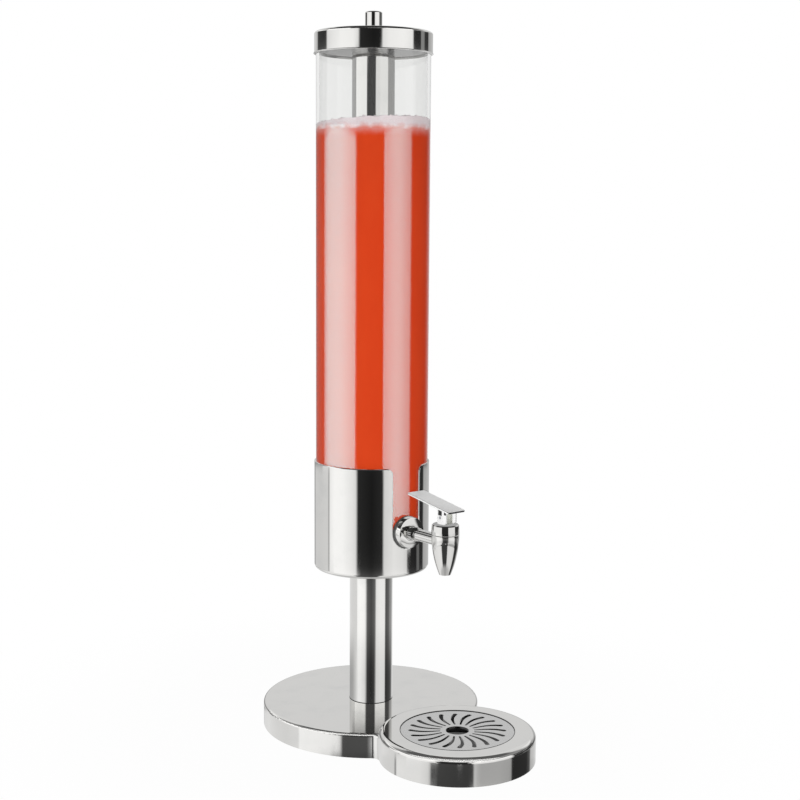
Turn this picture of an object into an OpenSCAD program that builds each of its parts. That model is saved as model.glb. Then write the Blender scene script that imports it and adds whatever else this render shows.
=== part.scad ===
// Juice dispenser: a clear container on a column, with a tap, a lift-off lid that carries an
// ice tube, and a round foot joined to a raised drip tray.
// Millimetres, +Z up. The origin is on the column axis at table level; tap and tray face -Y.

/* [Foot] */
// Diameter of the round foot
foot_d = 223; // [205:1:240]
// Height of the foot's top above the table
foot_h = 25.2; // [23:0.1:32]
// Rounding of the foot's top edge
foot_edge_r = 3; // [1.6:0.1:4]
// Sheet thickness of the foot and tray shell
shell_t = 1.5; // [1:0.1:2]
// Gap between the shell's lower edge and the table
skirt_gap = 0.8; // [0.4:0.1:1.6]
// Thickness of the anti-slip mat
mat_t = 2; // [1.8:0.1:3]
// Thickness of the steel bottom plate
plate_t = 3; // [2.8:0.1:4.5]
// Diameter of the stiffener under the foot's top
stiffener_d = 100; // [70:1:120]
// Thickness of the stiffener
stiffener_t = 4; // [2:0.5:5]
// Diameter of the pillars between shell and bottom plate
pillar_d = 8; // [7:0.5:9]
// Thread diameter of the bottom plate's screws
plate_screw_d = 5; // [4:0.5:5.5]

/* [Drip tray] */
// Diameter of the raised tray
tray_d = 153; // [145:1:165]
// Distance of the tray's centre from the column axis
tray_reach = 137.5; // [125:0.5:150]
// How far the tray's top stands above the foot's top
tray_rise = 3.4; // [2:0.1:5]
// Rounding of the tray's outer shoulder
tray_edge_r = 5.5; // [4:0.1:7]
// Hollow blend from the foot's top to the tray's shoulder
tray_blend_r = 2; // [1:0.1:3]
// Hollow blend where the walls of foot and tray meet
waist_r = 8; // [4:0.5:12]
// Diameter of the grille
grille_d = 111.3; // [100:0.1:116]
// Thickness of the grille
grille_t = 2; // [1.2:0.1:3]
// Depth of the grille's face below the tray's top
grille_inset = 0.6; // [0:0.1:1.5]
// Diameter of the grille's finger hole
finger_d = 23; // [16:0.5:28]
// Number of swirl slots in the grille
slot_count = 20; // [12:1:22]
// Distance of a swirl slot's inner end from the grille's centre
slot_in_r = 17.5; // [16:0.5:22]
// Distance of a swirl slot's outer end from the grille's centre
slot_out_r = 45.5; // [36:0.5:47]
// Width of a swirl slot at its inner end
slot_in_w = 2; // [1:0.1:2.4]
// Width of a swirl slot at its outer end
slot_out_w = 4.6; // [2:0.1:5]
// Sheet thickness of the drip pan
pan_t = 0.8; // [0.6:0.1:1.2]
// Gap between the pan's floor and the bottom plate
pan_floor_gap = 2; // [1:0.5:5]

/* [Column] */
// Diameter of the column
column_d = 44.5; // [40:0.1:50]
// Wall of the column
column_t = 1.5; // [1:0.1:3]
// Height of the column
column_h = 140; // [110:1:180]
// Length of the plugs in the column's ends
plug_l = 25; // [20:1:35]
// Thread diameter of the column's bolt
column_bolt_d = 12; // [8:1:14]
// Thread diameter of the cup's bolt
cup_bolt_d = 8; // [6:1:10]

/* [Cup holder] */
// Height of the cup holder
cup_h = 110.6; // [100:0.1:130]
// Sheet thickness of the cup holder
cup_t = 1.4; // [0.8:0.1:1.8]
// Rounding of the cup's lower edge
cup_edge_r = 4; // [2:0.1:6]
// Thickness of the cushion under the container
pad_t = 7.5; // [7.2:0.1:12]
// Gap between the tap's gasket and the sides of the U slot
u_slot_gap = 1.2; // [0.6:0.1:3]
// How far the U slot's round end sits below the tap axis
u_slot_drop = 0.6; // [0:0.1:8]
// Rounding of the U slot's corners at the rim
u_corner_r = 6; // [1:0.1:8]

/* [Container] */
// Outside diameter of the clear tube
tube_d = 114; // [104:1:124]
// Wall of the clear tube
tube_t = 3; // [2:0.1:4]
// Height of the clear tube
tube_h = 524; // [420:1:600]
// Thickness of the container's floor
floor_t = 6; // [4:0.5:10]
// Distance from the juice's level up to the tube's rim
head_h = 90; // [60:1:300]

/* [Tap] */
// Height of the tap axis above the container's lower edge
tap_h = 37.2; // [32:0.1:50]
// Distance of the spout from the column axis
tap_reach = 116.5; // [110:0.5:130]
// Diameter of the outer gasket
gasket_d = 32; // [30:0.5:36]
// Thickness of the outer gasket at the tap axis
gasket_t = 1.8; // [1.5:0.1:4]
// Diameter of the collar
collar_d = 31; // [26:0.5:31.5]
// Thickness of the collar
collar_t = 6.4; // [4:0.1:8]
// Diameter of the threaded shank and the pipe
shank_d = 12; // [11:0.1:13]
// Bore of the shank and the pipe
shank_bore_d = 8; // [6:0.1:9]
// Length of thread that shows outside the collar
thread_l = 6; // [3:0.5:9]
// Length of the plain ring between thread and pipe
shank_ring_l = 4.6; // [2:0.1:6]
// Diameter of that ring
shank_ring_d = 13.2; // [13:0.1:15]
// Lock nut, across flats
nut_af = 22; // [20:0.5:26]
// Thickness of the lock nut
nut_t = 6; // [4:0.5:8]
// Thickness of the inner gasket at the tap axis
inner_gasket_t = 4; // [3.5:0.1:5]
// Diameter of the bullet at its widest
bullet_d = 27.2; // [24.6:0.1:28]
// Radius of the arc that shapes the bullet's side
bullet_arc_r = 105; // [95:1:140]
// Height of the bullet's cap above the seam
cap_h = 10; // [8.6:0.1:12]
// Length of the bullet's body below the seam
spout_l = 40; // [36:0.5:43]
// Height of the bullet's seam above the tap axis
seam_rise = 8; // [7.2:0.1:10]
// Diameter of the valve chamber
chamber_d = 16; // [15:0.1:17]
// Diameter of the spout's outlet
outlet_d = 7; // [5:0.1:7.6]

/* [Valve and lever] */
// Diameter of the plunger's stem
stem_d = 8; // [6:0.1:9]
// Lift of the plunger at full opening
valve_lift = 2.5; // [1.5:0.1:3]
// Turn of the lever that opens the valve fully, in degrees
lever_turn = 45; // [30:1:48]
// Wire diameter of the plunger's spring
spring_wire_d = 1; // [0.6:0.1:1.2]
// Turns of the plunger's spring
spring_turns = 6; // [4:1:8]
// Height of the lever's pin above the bullet's cap
pin_rise = 7; // [6:0.1:8]
// Diameter of the lever's pin
pin_d = 3; // [2:0.1:4]
// Distance from the pin's axis to the lever plate's underside
lever_drop = 8.7; // [7:0.1:10]
// Length of the lever plate from the pin towards the container
lever_in_l = 48; // [30:0.5:52]
// Length of the lever plate from the pin outwards
lever_out_l = 15.5; // [12:0.5:20]
// Width of the lever plate
lever_w = 22; // [18:0.5:30]
// Thickness of the lever plate
lever_t = 1.8; // [1.2:0.1:2.5]
// Slope of the closed lever, up towards the container, in degrees
lever_slope = 9.2; // [5:0.1:15]
// Rounding of the lever plate's corners
lever_corner_r = 2.5; // [1:0.1:5]
// Thickness of the lever's ears
ear_t = 1.6; // [1:0.1:2.5]
// Width of the stem's head between the ears
head_w = 9.8; // [8:0.1:12]
// Depth of the stem's head
head_depth = 9; // [8:0.1:10]

/* [Lid] */
// How far the lid's skirt laps the tube
lid_lap = 15.9; // [8:0.1:20]
// Sheet thickness of the lid
lid_t = 1.4; // [0.8:0.1:1.8]
// Rounding of the lid's top edge
lid_edge_r = 2.6; // [1.6:0.1:3.2]
// Radius of the rolled bead on the lid's lower edge
lid_bead_r = 0.6; // [0.4:0.1:1]
// Depth of the lid's inner plug below the tube's rim
lid_plug_h = 16; // [10:0.1:20]
// Thickness of the plug's flange
lid_flange_t = 1.8; // [1:0.1:2.5]
// Thickness of the lid's seal
lid_seal_t = 2.2; // [1.5:0.1:3]
// Diameter of the knob
knob_d = 17; // [14:0.5:22]
// Height of the knob
knob_h = 19.8; // [16:0.1:28]
// Rounding of the knob's top edge
knob_edge_r = 1.4; // [0.5:0.1:3]
// Thread diameter of the knob's screw
knob_screw_d = 6; // [4:0.5:8]
// Diameter of the ice tube
ice_d = 42.4; // [34:0.1:50]
// Wall of the ice tube
ice_t = 1; // [0.6:0.1:1.5]
// Gap between the ice tube's end and the container's floor
ice_gap = 15; // [10:0.5:40]
// Thickness of the ice tube's closed end
ice_cap_t = 3; // [2:0.5:6]

/* [Fits] */
// Gap round pieces that lift in and out
lift_gap = 0.3; // [0.2:0.05:0.5]
// Gap round pieces that are screwed or pressed together
join_gap = 0.05; // [0.02:0.01:0.1]
// Gap round shafts that turn or slide
run_gap = 0.05; // [0.02:0.01:0.1]
// Gap between a lifted-in piece and the face it rests on
seat_gap = 0.2; // [0.1:0.05:0.3]
// Gap round the grille that shows as a line in the tray
grille_gap = 0.55; // [0.3:0.05:1]

/* [Hidden] */
$fn = 96;

// Colours of the finishes
polished = [0.82, 0.82, 0.83];
satin = [0.74, 0.74, 0.74];
clear = [0.88, 0.93, 0.94, 0.3];
orange_red = [0.84, 0.25, 0.09];
black_rubber = [0.08, 0.08, 0.08];
milky = [0.88, 0.9, 0.84];
pale_plastic = [0.9, 0.92, 0.83];

// Length by which a cut runs past the face it opens
cut = 1;

// Radii
foot_r = foot_d / 2;
tray_r = tray_d / 2;
grille_r = grille_d / 2;
column_r = column_d / 2;
tube_r = tube_d / 2;
tube_in_r = tube_r - tube_t;
ice_r = ice_d / 2;
ice_in_r = ice_r - ice_t;
shank_r = shank_d / 2;
bullet_r = bullet_d / 2;
chamber_r = chamber_d / 2;
outlet_r = outlet_d / 2;
stem_r = stem_d / 2;

// Levels of the foot and tray
plate_z = mat_t;
plate_top = plate_z + plate_t;
tray_h = foot_h + tray_rise;
ledge_z = tray_h - grille_inset - grille_t - pan_t;
recess_r = grille_r + grille_gap;
ledge_w = 3.7;
ledge_r = recess_r - ledge_w;
inner_outline_gap = 0.5;

// Bolt of the column, in proportion to its thread
bolt_head_h = 0.62 * column_bolt_d;
bolt_head_r = 0.8 * column_bolt_d / cos(30);
column_washer_t = 2.5;
column_washer_r = 1.3 * column_bolt_d;
bolt_in_plug = 0.8 * plug_l;

// Depth by which a hollow blend bites into the walls that it joins, so that it crosses them
blend_bite = 0.05;

// Place of the hollow blend between the walls of foot and tray
waist_foot_l = foot_r + waist_r - blend_bite;
waist_tray_l = tray_r + waist_r - blend_bite;
waist_s = (pow(waist_foot_l, 2) - pow(waist_tray_l, 2) + pow(tray_reach, 2)) / (2 * tray_reach);
waist_x = sqrt(pow(waist_foot_l, 2) - pow(waist_s, 2));
waist_c = [waist_x, -waist_s];
tray_c = [0, -tray_reach];
waist_root_r = 3;
waist_on_foot = waist_c * (foot_r - waist_root_r) / waist_foot_l;
waist_on_tray = tray_c + (waist_c - tray_c) * (tray_r - waist_root_r) / waist_tray_l;
corner_s = (pow(foot_r, 2) - pow(tray_r, 2) + pow(tray_reach, 2)) / (2 * tray_reach);
waist_root = [sqrt(pow(foot_r, 2) - pow(corner_s, 2)) - waist_r / 2, -corner_s];

// Levels of the cup and container
cup_z = foot_h + column_h;
cup_floor_z = cup_z + cup_t;
cup_in_r = tube_r + lift_gap;
cup_r = cup_in_r + cup_t;
pad_hole_r = 2.2 * cup_bolt_d;
tube_z = cup_floor_z + pad_t + seat_gap;
tube_top = tube_z + tube_h;
floor_top = tube_z + floor_t;
juice_top = tube_top - head_h;

// Bolt of the cup, in proportion to its thread
cup_washer_t = 1.6;
cup_washer_r = 1.5 * cup_bolt_d;
cup_bolt_head_r = 0.9 * cup_bolt_d;
cup_bolt_head_h = 0.55 * cup_bolt_d;

// Places along the tap axis, as distances from the column axis
tap_z = tube_z + tap_h;
gasket_face = tube_r + gasket_t;
collar_face = gasket_face + collar_t;
thread_end = collar_face + thread_l;
ring_end = thread_end + shank_ring_l;
inner_gasket_face = tube_in_r - inner_gasket_t;
nut_face = inner_gasket_face - nut_t;
shank_tail = 2;
shank_in = nut_face - shank_tail;
thread_pitch = 1.5;
thread_depth = 0.55;
nut_corner_r = nut_af / 2 / cos(30);
inner_gasket_rim = 1;
inner_gasket_r = nut_corner_r + inner_gasket_rim;
gasket_r = gasket_d / 2;
u_slot_r = gasket_r + u_slot_gap;
u_slot_z = tap_z - u_slot_drop;
chamber_wall = 1.6;
pipe_end = tap_reach - chamber_r - chamber_wall;

// Levels of the bullet and its valve
seam_z = tap_z + seam_rise;
cap_top = seam_z + cap_h;
spout_z = seam_z - spout_l;
cap_roof = 4;
neck_wall = 1.5;
neck_r = chamber_r + neck_wall;
neck_top = cap_top - cap_roof - seat_gap;
seam_groove = 0.5;
cap_edge = 1;
seat_drop = 7.5;
seat_top = tap_z - shank_r - seat_drop;
seat_bottom = seat_top - (chamber_r - outlet_r);
seal_gap = 0.45;
seal_play = 0.8;
seal_r = chamber_r - seal_play;
seal_bottom = seat_bottom + seal_gap;
seal_shoulder = seal_bottom + seal_r - outlet_r;
seal_h = 5;
seal_top = seal_shoulder + seal_h;
stem_collar_t = 2;
stem_collar_top = seal_top + stem_collar_t;
seal_pin_r = 2.5;

// Spring between the stem's collar and the cap's roof
spring_z0 = stem_collar_top + spring_wire_d / 2 + join_gap;
spring_z1 = cap_top - cap_roof - spring_wire_d / 2 - join_gap;
spring_r = (stem_r + chamber_r) / 2;
spring_sides = 6;
spring_steps = 12;

// Lever: its cam lifts the plunger in step with its turn
pin_z = cap_top + pin_rise;
head_lift = 0.4;
head_z = cap_top + head_lift;
head_over_pin = 4;
head_top = pin_z + head_over_pin;
head_gap = 0.3;
ear_x = head_w / 2 + head_gap;
ear_in_y = 4.5;
cam_gap = 0.3;
cam_base = pin_rise - cam_gap;
cam_rate = valve_lift / (lever_turn * PI / 180);
cam_steps = 9;
pin_end = 0.5;
pin_l = 2 * (ear_x + ear_t + pin_end);

// Levels of the lid
lid_z = tube_top - lid_lap;
seal_z = tube_top + seat_gap;
flange_z = seal_z + lid_seal_t;
lid_roof = flange_z + lid_flange_t;
lid_top = lid_roof + lid_t;
lid_in_r = tube_r + lift_gap;
lid_r = lid_in_r + lid_t;
lid_plug_gap = 0.4;
lid_plug_r = tube_in_r - lid_plug_gap;
lid_plug_t = 0.8;
lid_plug_z = tube_top - lid_plug_h + lid_seal_t;
knob_screw_head_h = 0.6 * knob_screw_d;
knob_screw_grip = 13;
ice_z = floor_top + ice_gap;
ice_socket_h = 12;
ice_socket_t = 2.6;
juice_gap = 0.4;

// Swirl slots: how far a slot bows and sweeps back, in degrees about the grille's centre
slot_bow = 2.5;
slot_sweep = 5;
slot_first = 2.6;
slot_steps = 6;
slot_probe = 0.01;
slot_end_swell = 0.03;

// Pillars: places round the foot, and round the tray
foot_pillar_angles = [20, 90, 160];
tray_pillar_angles = [-60, -120];
foot_pillar_r = foot_r - shell_t - foot_edge_r - pillar_d;
tray_pillar_r = (recess_r + shell_t + tray_r - tray_edge_r) / 2;
plate_screw_l = 14;

// Places children at the tray's centre
module at_tray() {
  translate([0, -tray_reach, 0]) children();
}

// Places children on the spout's upright axis
module at_spout() {
  translate([0, -tap_reach, 0]) children();
}

// Turns children so that their Z runs out along the tap axis
module along_tap() {
  translate([0, 0, tap_z]) rotate([90, 0, 0]) children();
}

// Places children at each of the foot's pillars
module at_foot_pillars() {
  for (a = foot_pillar_angles) rotate([0, 0, a]) translate([foot_pillar_r, 0, 0]) children();
}

// Places children at each of the tray's pillars
module at_tray_pillars() {
  at_tray() for (a = tray_pillar_angles) rotate([0, 0, a]) translate([tray_pillar_r, 0, 0]) children();
}

// Round disc or can of radius r and height h with its top edge rounded by e
module round_top(r, h, e) {
  rotate_extrude() {
    square([r - e, h]);
    square([r, h - e]);
    translate([r - e, h - e]) intersection() {
      circle(e);
      square(e);
    }
  }
}

// The same with its lower edge rounded
module round_bottom(r, h, e) {
  translate([0, 0, h]) mirror([0, 0, 1]) round_top(r, h, e);
}

// Tube of height h
module pipe(r_out, r_in, h) {
  difference() {
    cylinder(r = r_out, h = h);
    translate([0, 0, -cut]) cylinder(r = r_in, h = h + 2 * cut);
  }
}

// Outline of foot and tray together, drawn in by inset
module twin_outline(inset) {
  circle(foot_r - inset);
  translate(tray_c) circle(tray_r - inset);
}

// Plan of the hollow blend on one side of the waist
module waist_plan() {
  difference() {
    polygon([waist_on_foot, waist_c, waist_on_tray, waist_root]);
    translate(waist_c) circle(waist_r);
  }
}

// Cutter that rounds the waist's top edge like the foot's
module waist_edge_cut() {
  translate([waist_c[0], waist_c[1], foot_h - foot_edge_r]) rotate_extrude() difference() {
    square([waist_r + foot_edge_r, foot_edge_r + cut]);
    translate([waist_r + foot_edge_r, 0]) circle(foot_edge_r);
  }
}

// Wedge that fills one side of the waist
module waist_fill() {
  difference() {
    translate([0, 0, skirt_gap]) linear_extrude(foot_h - skirt_gap) waist_plan();
    waist_edge_cut();
  }
}

// Hollow blend from the foot's top up to the tray's shoulder, kept to the foot's plan
module tray_blend() {
  shoulder = [tray_r - tray_edge_r, tray_h - tray_edge_r];
  blend_z = foot_h + tray_blend_r - blend_bite;
  reach = tray_edge_r + tray_blend_r - blend_bite;
  blend_x = shoulder[0] + sqrt(pow(reach, 2) - pow(blend_z - shoulder[1], 2));
  intersection() {
    at_tray() rotate_extrude() difference() {
      polygon([shoulder, [blend_x, shoulder[1]], [blend_x, blend_z]]);
      translate([blend_x, blend_z]) circle(tray_blend_r);
    }
    cylinder(r = foot_r - foot_edge_r, h = tray_h);
  }
}

// Hollow inside of the foot and tray shell, with the ring left that carries the drip pan
module shell_cavity() {
  difference() {
    union() {
      translate([0, 0, -cut]) round_top(foot_r - shell_t, foot_h - shell_t + cut, foot_edge_r - shell_t);
      at_tray() translate([0, 0, -cut])
        round_top(tray_r - shell_t, tray_h - shell_t + cut, tray_edge_r - shell_t);
    }
    at_tray() translate([0, 0, ledge_z - shell_t]) pipe(recess_r + shell_t, ledge_r, tray_h);
  }
}

module base_shell() {
  color(polished) difference() {
    union() {
      translate([0, 0, skirt_gap]) round_top(foot_r, foot_h - skirt_gap, foot_edge_r);
      at_tray() translate([0, 0, skirt_gap]) round_top(tray_r, tray_h - skirt_gap, tray_edge_r);
      waist_fill();
      mirror([1, 0, 0]) waist_fill();
      tray_blend();
    }
    shell_cavity();
    at_tray() translate([0, 0, ledge_z]) cylinder(r = recess_r, h = tray_h);
    at_tray() translate([0, 0, ledge_z - shell_t - cut]) cylinder(r = ledge_r, h = tray_h);
    cylinder(r = column_bolt_d / 2 + lift_gap, h = foot_h + cut);
  }
}

module base_stiffener() {
  color(satin) translate([0, 0, foot_h - shell_t - stiffener_t])
    pipe(stiffener_d / 2, column_bolt_d / 2 + lift_gap, stiffener_t);
}

module base_plate() {
  color(satin) difference() {
    translate([0, 0, plate_z]) linear_extrude(plate_t) twin_outline(shell_t + inner_outline_gap);
    at_foot_pillars() translate([0, 0, plate_z]) screw_sink();
    at_tray_pillars() translate([0, 0, plate_z]) screw_sink();
  }
}

// Countersunk hole in the bottom plate
module screw_sink() {
  translate([0, 0, -cut]) cylinder(r = plate_screw_d / 2 + join_gap, h = plate_t + 2 * cut);
  cylinder(r1 = plate_screw_d + join_gap, r2 = plate_screw_d / 2 + join_gap, h = plate_screw_d / 2);
  translate([0, 0, -cut]) cylinder(r = plate_screw_d + join_gap, h = cut);
}

// Pillar from the bottom plate up to level top, tapped from below
module pillar(top) {
  translate([0, 0, plate_top]) difference() {
    cylinder(r = pillar_d / 2, h = top - plate_top);
    translate([0, 0, -cut]) cylinder(r = plate_screw_d / 2 + join_gap, h = plate_screw_l + cut);
  }
}

module base_pillars() {
  color(satin) {
    at_foot_pillars() pillar(foot_h - shell_t);
    at_tray_pillars() pillar(tray_h - shell_t);
  }
}

module plate_screw() {
  translate([0, 0, plate_z]) {
    cylinder(r1 = plate_screw_d, r2 = plate_screw_d / 2, h = plate_screw_d / 2);
    cylinder(r = plate_screw_d / 2, h = plate_screw_l);
  }
}

module plate_screws() {
  color(satin) {
    at_foot_pillars() plate_screw();
    at_tray_pillars() plate_screw();
  }
}

module anti_slip_mat() {
  color(black_rubber) linear_extrude(mat_t) twin_outline(shell_t + 2 * inner_outline_gap);
}

module column_tube() {
  color(polished) translate([0, 0, foot_h]) pipe(column_r, column_r - column_t, column_h);
}

// Tapped plug for one end of the column, with a thread for a bolt of diameter d
module column_plug(d) {
  pipe(column_r - column_t - join_gap, d / 2 + join_gap, plug_l);
}

module column_foot_plug() {
  color(satin) translate([0, 0, foot_h]) column_plug(column_bolt_d);
}

module column_head_plug() {
  color(satin) translate([0, 0, cup_z - plug_l]) column_plug(cup_bolt_d);
}

module column_bolt() {
  seat = foot_h - shell_t - stiffener_t - column_washer_t;
  color(satin) translate([0, 0, seat]) {
    translate([0, 0, -bolt_head_h]) cylinder(r = bolt_head_r, h = bolt_head_h, $fn = 6);
    cylinder(r = column_bolt_d / 2, h = foot_h - seat + bolt_in_plug);
  }
}

module column_washer() {
  color(satin) translate([0, 0, foot_h - shell_t - stiffener_t - column_washer_t])
    pipe(column_washer_r, column_bolt_d / 2 + lift_gap, column_washer_t);
}

// U slot seen from the front, with its Y along the cup's height from the slot's round end
module u_slot_outline() {
  rim = cup_z + cup_h - u_slot_z;
  circle(u_slot_r);
  translate([-u_slot_r, 0]) square([2 * u_slot_r, rim + cut]);
  for (side = [0, 1]) mirror([side, 0]) translate([u_slot_r, rim - u_corner_r]) difference() {
    translate([-cut, 0]) square([u_corner_r + cut, u_corner_r + cut]);
    translate([u_corner_r, 0]) circle(u_corner_r);
  }
}

module cup_holder() {
  color(polished) difference() {
    translate([0, 0, cup_z]) round_bottom(cup_r, cup_h, cup_edge_r);
    translate([0, 0, cup_floor_z]) round_bottom(cup_in_r, cup_h, cup_edge_r - cup_t);
    translate([0, 0, u_slot_z]) rotate([90, 0, 0]) linear_extrude(cup_r + cut) u_slot_outline();
    translate([0, 0, cup_z - cut]) cylinder(r = cup_bolt_d / 2 + lift_gap, h = cup_t + 2 * cut);
  }
}

module cup_bolt() {
  seat = cup_floor_z + cup_washer_t;
  color(satin) translate([0, 0, seat]) {
    round_top(cup_bolt_head_r, cup_bolt_head_h, cup_bolt_head_h / 2);
    translate([0, 0, cup_z - seat - bolt_in_plug])
      cylinder(r = cup_bolt_d / 2, h = bolt_in_plug + seat - cup_z);
  }
}

module cup_washer() {
  color(satin) translate([0, 0, cup_floor_z])
    pipe(cup_washer_r, cup_bolt_d / 2 + lift_gap, cup_washer_t);
}

module cup_pad() {
  color(black_rubber) translate([0, 0, cup_floor_z])
    pipe(cup_in_r - cup_edge_r, pad_hole_r, pad_t);
}

module drip_pan() {
  pan_r = ledge_r - lift_gap;
  pan_z = plate_top + pan_floor_gap;
  pan_edge_r = 3;
  color(satin) at_tray() difference() {
    union() {
      translate([0, 0, pan_z]) round_bottom(pan_r, ledge_z + pan_t - pan_z, pan_edge_r);
      translate([0, 0, ledge_z]) cylinder(r = recess_r - lift_gap, h = pan_t);
    }
    translate([0, 0, pan_z + pan_t]) round_bottom(pan_r - pan_t, tray_h, pan_edge_r - pan_t);
  }
}

// Place on a swirl slot's centre line at share t of its length
function slot_point(t) =
  let (r = slot_in_r + (slot_out_r - slot_in_r) * t)
  let (a = slot_bow * sin(180 * t) - slot_sweep * t * t)
  r * [cos(a), sin(a)];

// Half width of a swirl slot at share t of its length
function slot_half(t) = (slot_in_w + (slot_out_w - slot_in_w) * t) / 2;

// Edge of a swirl slot on one side, from share t
function slot_edge(t, side) =
  let (d = slot_point(t + slot_probe) - slot_point(t - slot_probe))
  slot_point(t) + side * slot_half(t) * [-d[1], d[0]] / norm(d);

module swirl_slot() {
  polygon([
    for (i = [0 : slot_steps]) slot_edge(i / slot_steps, 1),
    for (i = [slot_steps : -1 : 0]) slot_edge(i / slot_steps, -1)
  ]);
  for (t = [0, 1]) translate(slot_point(t)) circle(slot_half(t) + slot_end_swell);
}

module drip_grille() {
  grille_edge_r = 0.4;
  color(satin) at_tray() translate([0, 0, ledge_z + pan_t]) difference() {
    round_top(grille_r, grille_t, grille_edge_r);
    translate([0, 0, -cut]) cylinder(r = finger_d / 2, h = grille_t + 2 * cut);
    translate([0, 0, -cut]) linear_extrude(grille_t + 2 * cut)
      for (i = [0 : slot_count - 1]) rotate(slot_first + i * 360 / slot_count) swirl_slot();
  }
}

module container_tube() {
  color(clear) difference() {
    translate([0, 0, tube_z]) pipe(tube_r, tube_in_r, tube_h);
    along_tap() cylinder(r = shank_r + lift_gap, h = tube_r + cut);
  }
}

module container_floor() {
  color(clear) translate([0, 0, tube_z]) cylinder(r = tube_in_r - join_gap, h = floor_t);
}

module juice() {
  color(orange_red) difference() {
    translate([0, 0, floor_top]) cylinder(r = tube_in_r - lift_gap, h = juice_top - floor_top);
    translate([0, 0, ice_z - juice_gap]) cylinder(r = ice_r + juice_gap, h = tube_h);
    along_tap() translate([0, 0, shank_in - juice_gap])
      cylinder(r = inner_gasket_r + juice_gap, h = tube_r - shank_in);
  }
}

module tap_gasket() {
  color(black_rubber) difference() {
    along_tap() translate([0, 0, tube_r / 2])
      pipe(gasket_r, shank_r + lift_gap, gasket_face - tube_r / 2);
    translate([0, 0, tube_z]) cylinder(r = tube_r + join_gap, h = tube_h);
  }
}

module tap_collar() {
  bevel = 2;
  color(polished) along_tap() translate([0, 0, gasket_face]) difference() {
    union() {
      cylinder(r = collar_d / 2, h = collar_t - bevel);
      translate([0, 0, collar_t - bevel])
        cylinder(r1 = collar_d / 2, r2 = collar_d / 2 - bevel, h = bevel);
    }
    translate([0, 0, -cut]) cylinder(r = shank_r + lift_gap, h = collar_t + 2 * cut);
  }
}

// Half section of the shank: thread, plain ring and pipe, along Y
module shank_section() {
  turns = floor((thread_end - shank_in) / thread_pitch);
  polygon([
    [shank_bore_d / 2, shank_in],
    [shank_r - thread_depth, shank_in],
    for (i = [0 : turns - 1], p = [0, 1])
      [shank_r - thread_depth * (1 - p), thread_end - (turns - i - p / 2) * thread_pitch],
    [shank_r - thread_depth, thread_end],
    [shank_ring_d / 2, thread_end],
    [shank_ring_d / 2, ring_end],
    [shank_r, ring_end],
    [shank_r, pipe_end],
    [shank_bore_d / 2, pipe_end]
  ]);
}

module tap_shank() {
  color(polished) along_tap() rotate_extrude() shank_section();
}

module inner_gasket() {
  color(black_rubber) intersection() {
    along_tap() translate([0, 0, inner_gasket_face])
      pipe(inner_gasket_r, shank_r + join_gap, tube_r - inner_gasket_face);
    translate([0, 0, tube_z]) cylinder(r = tube_in_r - join_gap, h = tube_h);
  }
}

module lock_nut() {
  color(satin) along_tap() translate([0, 0, nut_face]) difference() {
    cylinder(r = nut_corner_r, h = nut_t, $fn = 6);
    translate([0, 0, -cut]) cylinder(r = shank_r + join_gap, h = nut_t + 2 * cut);
  }
}

// Half section of the whole bullet, before it is parted and hollowed
module bullet_section() {
  difference() {
    intersection() {
      translate([0, spout_z]) square([bullet_r, cap_top - spout_z]);
      translate([bullet_r - bullet_arc_r, seam_z]) circle(bullet_arc_r, $fn = 360);
    }
    translate([bullet_r, seam_z]) rotate(45) square(seam_groove, center = true);
    translate([bullet_r, cap_top]) rotate(45) square(2 * cap_edge, center = true);
  }
}

module tap_body() {
  color(polished) difference() {
    at_spout() rotate_extrude() difference() {
      union() {
        intersection() {
          bullet_section();
          square([bullet_r, seam_z]);
        }
        translate([0, seam_z - cut]) square([neck_r, neck_top - seam_z + cut]);
      }
      polygon([
        [0, spout_z - cut], [outlet_r, spout_z - cut], [outlet_r, seat_bottom],
        [chamber_r, seat_top], [chamber_r, neck_top + cut], [0, neck_top + cut]
      ]);
    }
    along_tap() translate([0, 0, tap_reach - bullet_r - cut])
      cylinder(r = shank_r + join_gap, h = pipe_end - tap_reach + bullet_r + cut);
    along_tap() translate([0, 0, pipe_end - cut])
      cylinder(r = shank_bore_d / 2, h = tap_reach - pipe_end + cut);
  }
}

module tap_cap() {
  color(polished) at_spout() rotate_extrude() difference() {
    intersection() {
      bullet_section();
      translate([0, seam_z]) square([bullet_r, cap_h]);
    }
    translate([0, seam_z - cut]) square([neck_r + join_gap, cap_h - cap_roof + cut]);
    square([stem_r + run_gap, cap_top + cut]);
  }
}

// Spring as one tube wound round the spout's axis; ring i of the sweep
function spring_ring(i) =
  let (a = 360 * i / spring_steps)
  let (z = spring_z0 + (spring_z1 - spring_z0) * i / (spring_turns * spring_steps))
  [for (j = [0 : spring_sides - 1])
    let (b = 360 * j / spring_sides)
    let (r = spring_r + spring_wire_d / 2 * cos(b))
    [r * cos(a), r * sin(a), z + spring_wire_d / 2 * sin(b)]];

module plunger_spring() {
  rings = spring_turns * spring_steps;
  points = [for (i = [0 : rings]) each spring_ring(i)];
  sides = [
    for (i = [0 : rings - 1], j = [0 : spring_sides - 1])
      let (k = (j + 1) % spring_sides)
      each [
        [i * spring_sides + j, (i + 1) * spring_sides + j, (i + 1) * spring_sides + k],
        [i * spring_sides + j, (i + 1) * spring_sides + k, i * spring_sides + k]
      ]
  ];
  first_end = [for (j = [1 : spring_sides - 2]) [0, j, j + 1]];
  last = rings * spring_sides;
  last_end = [for (j = [1 : spring_sides - 2]) [last, last + j + 1, last + j]];
  color(satin) at_spout() polyhedron(points, concat(sides, first_end, last_end));
}

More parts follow.
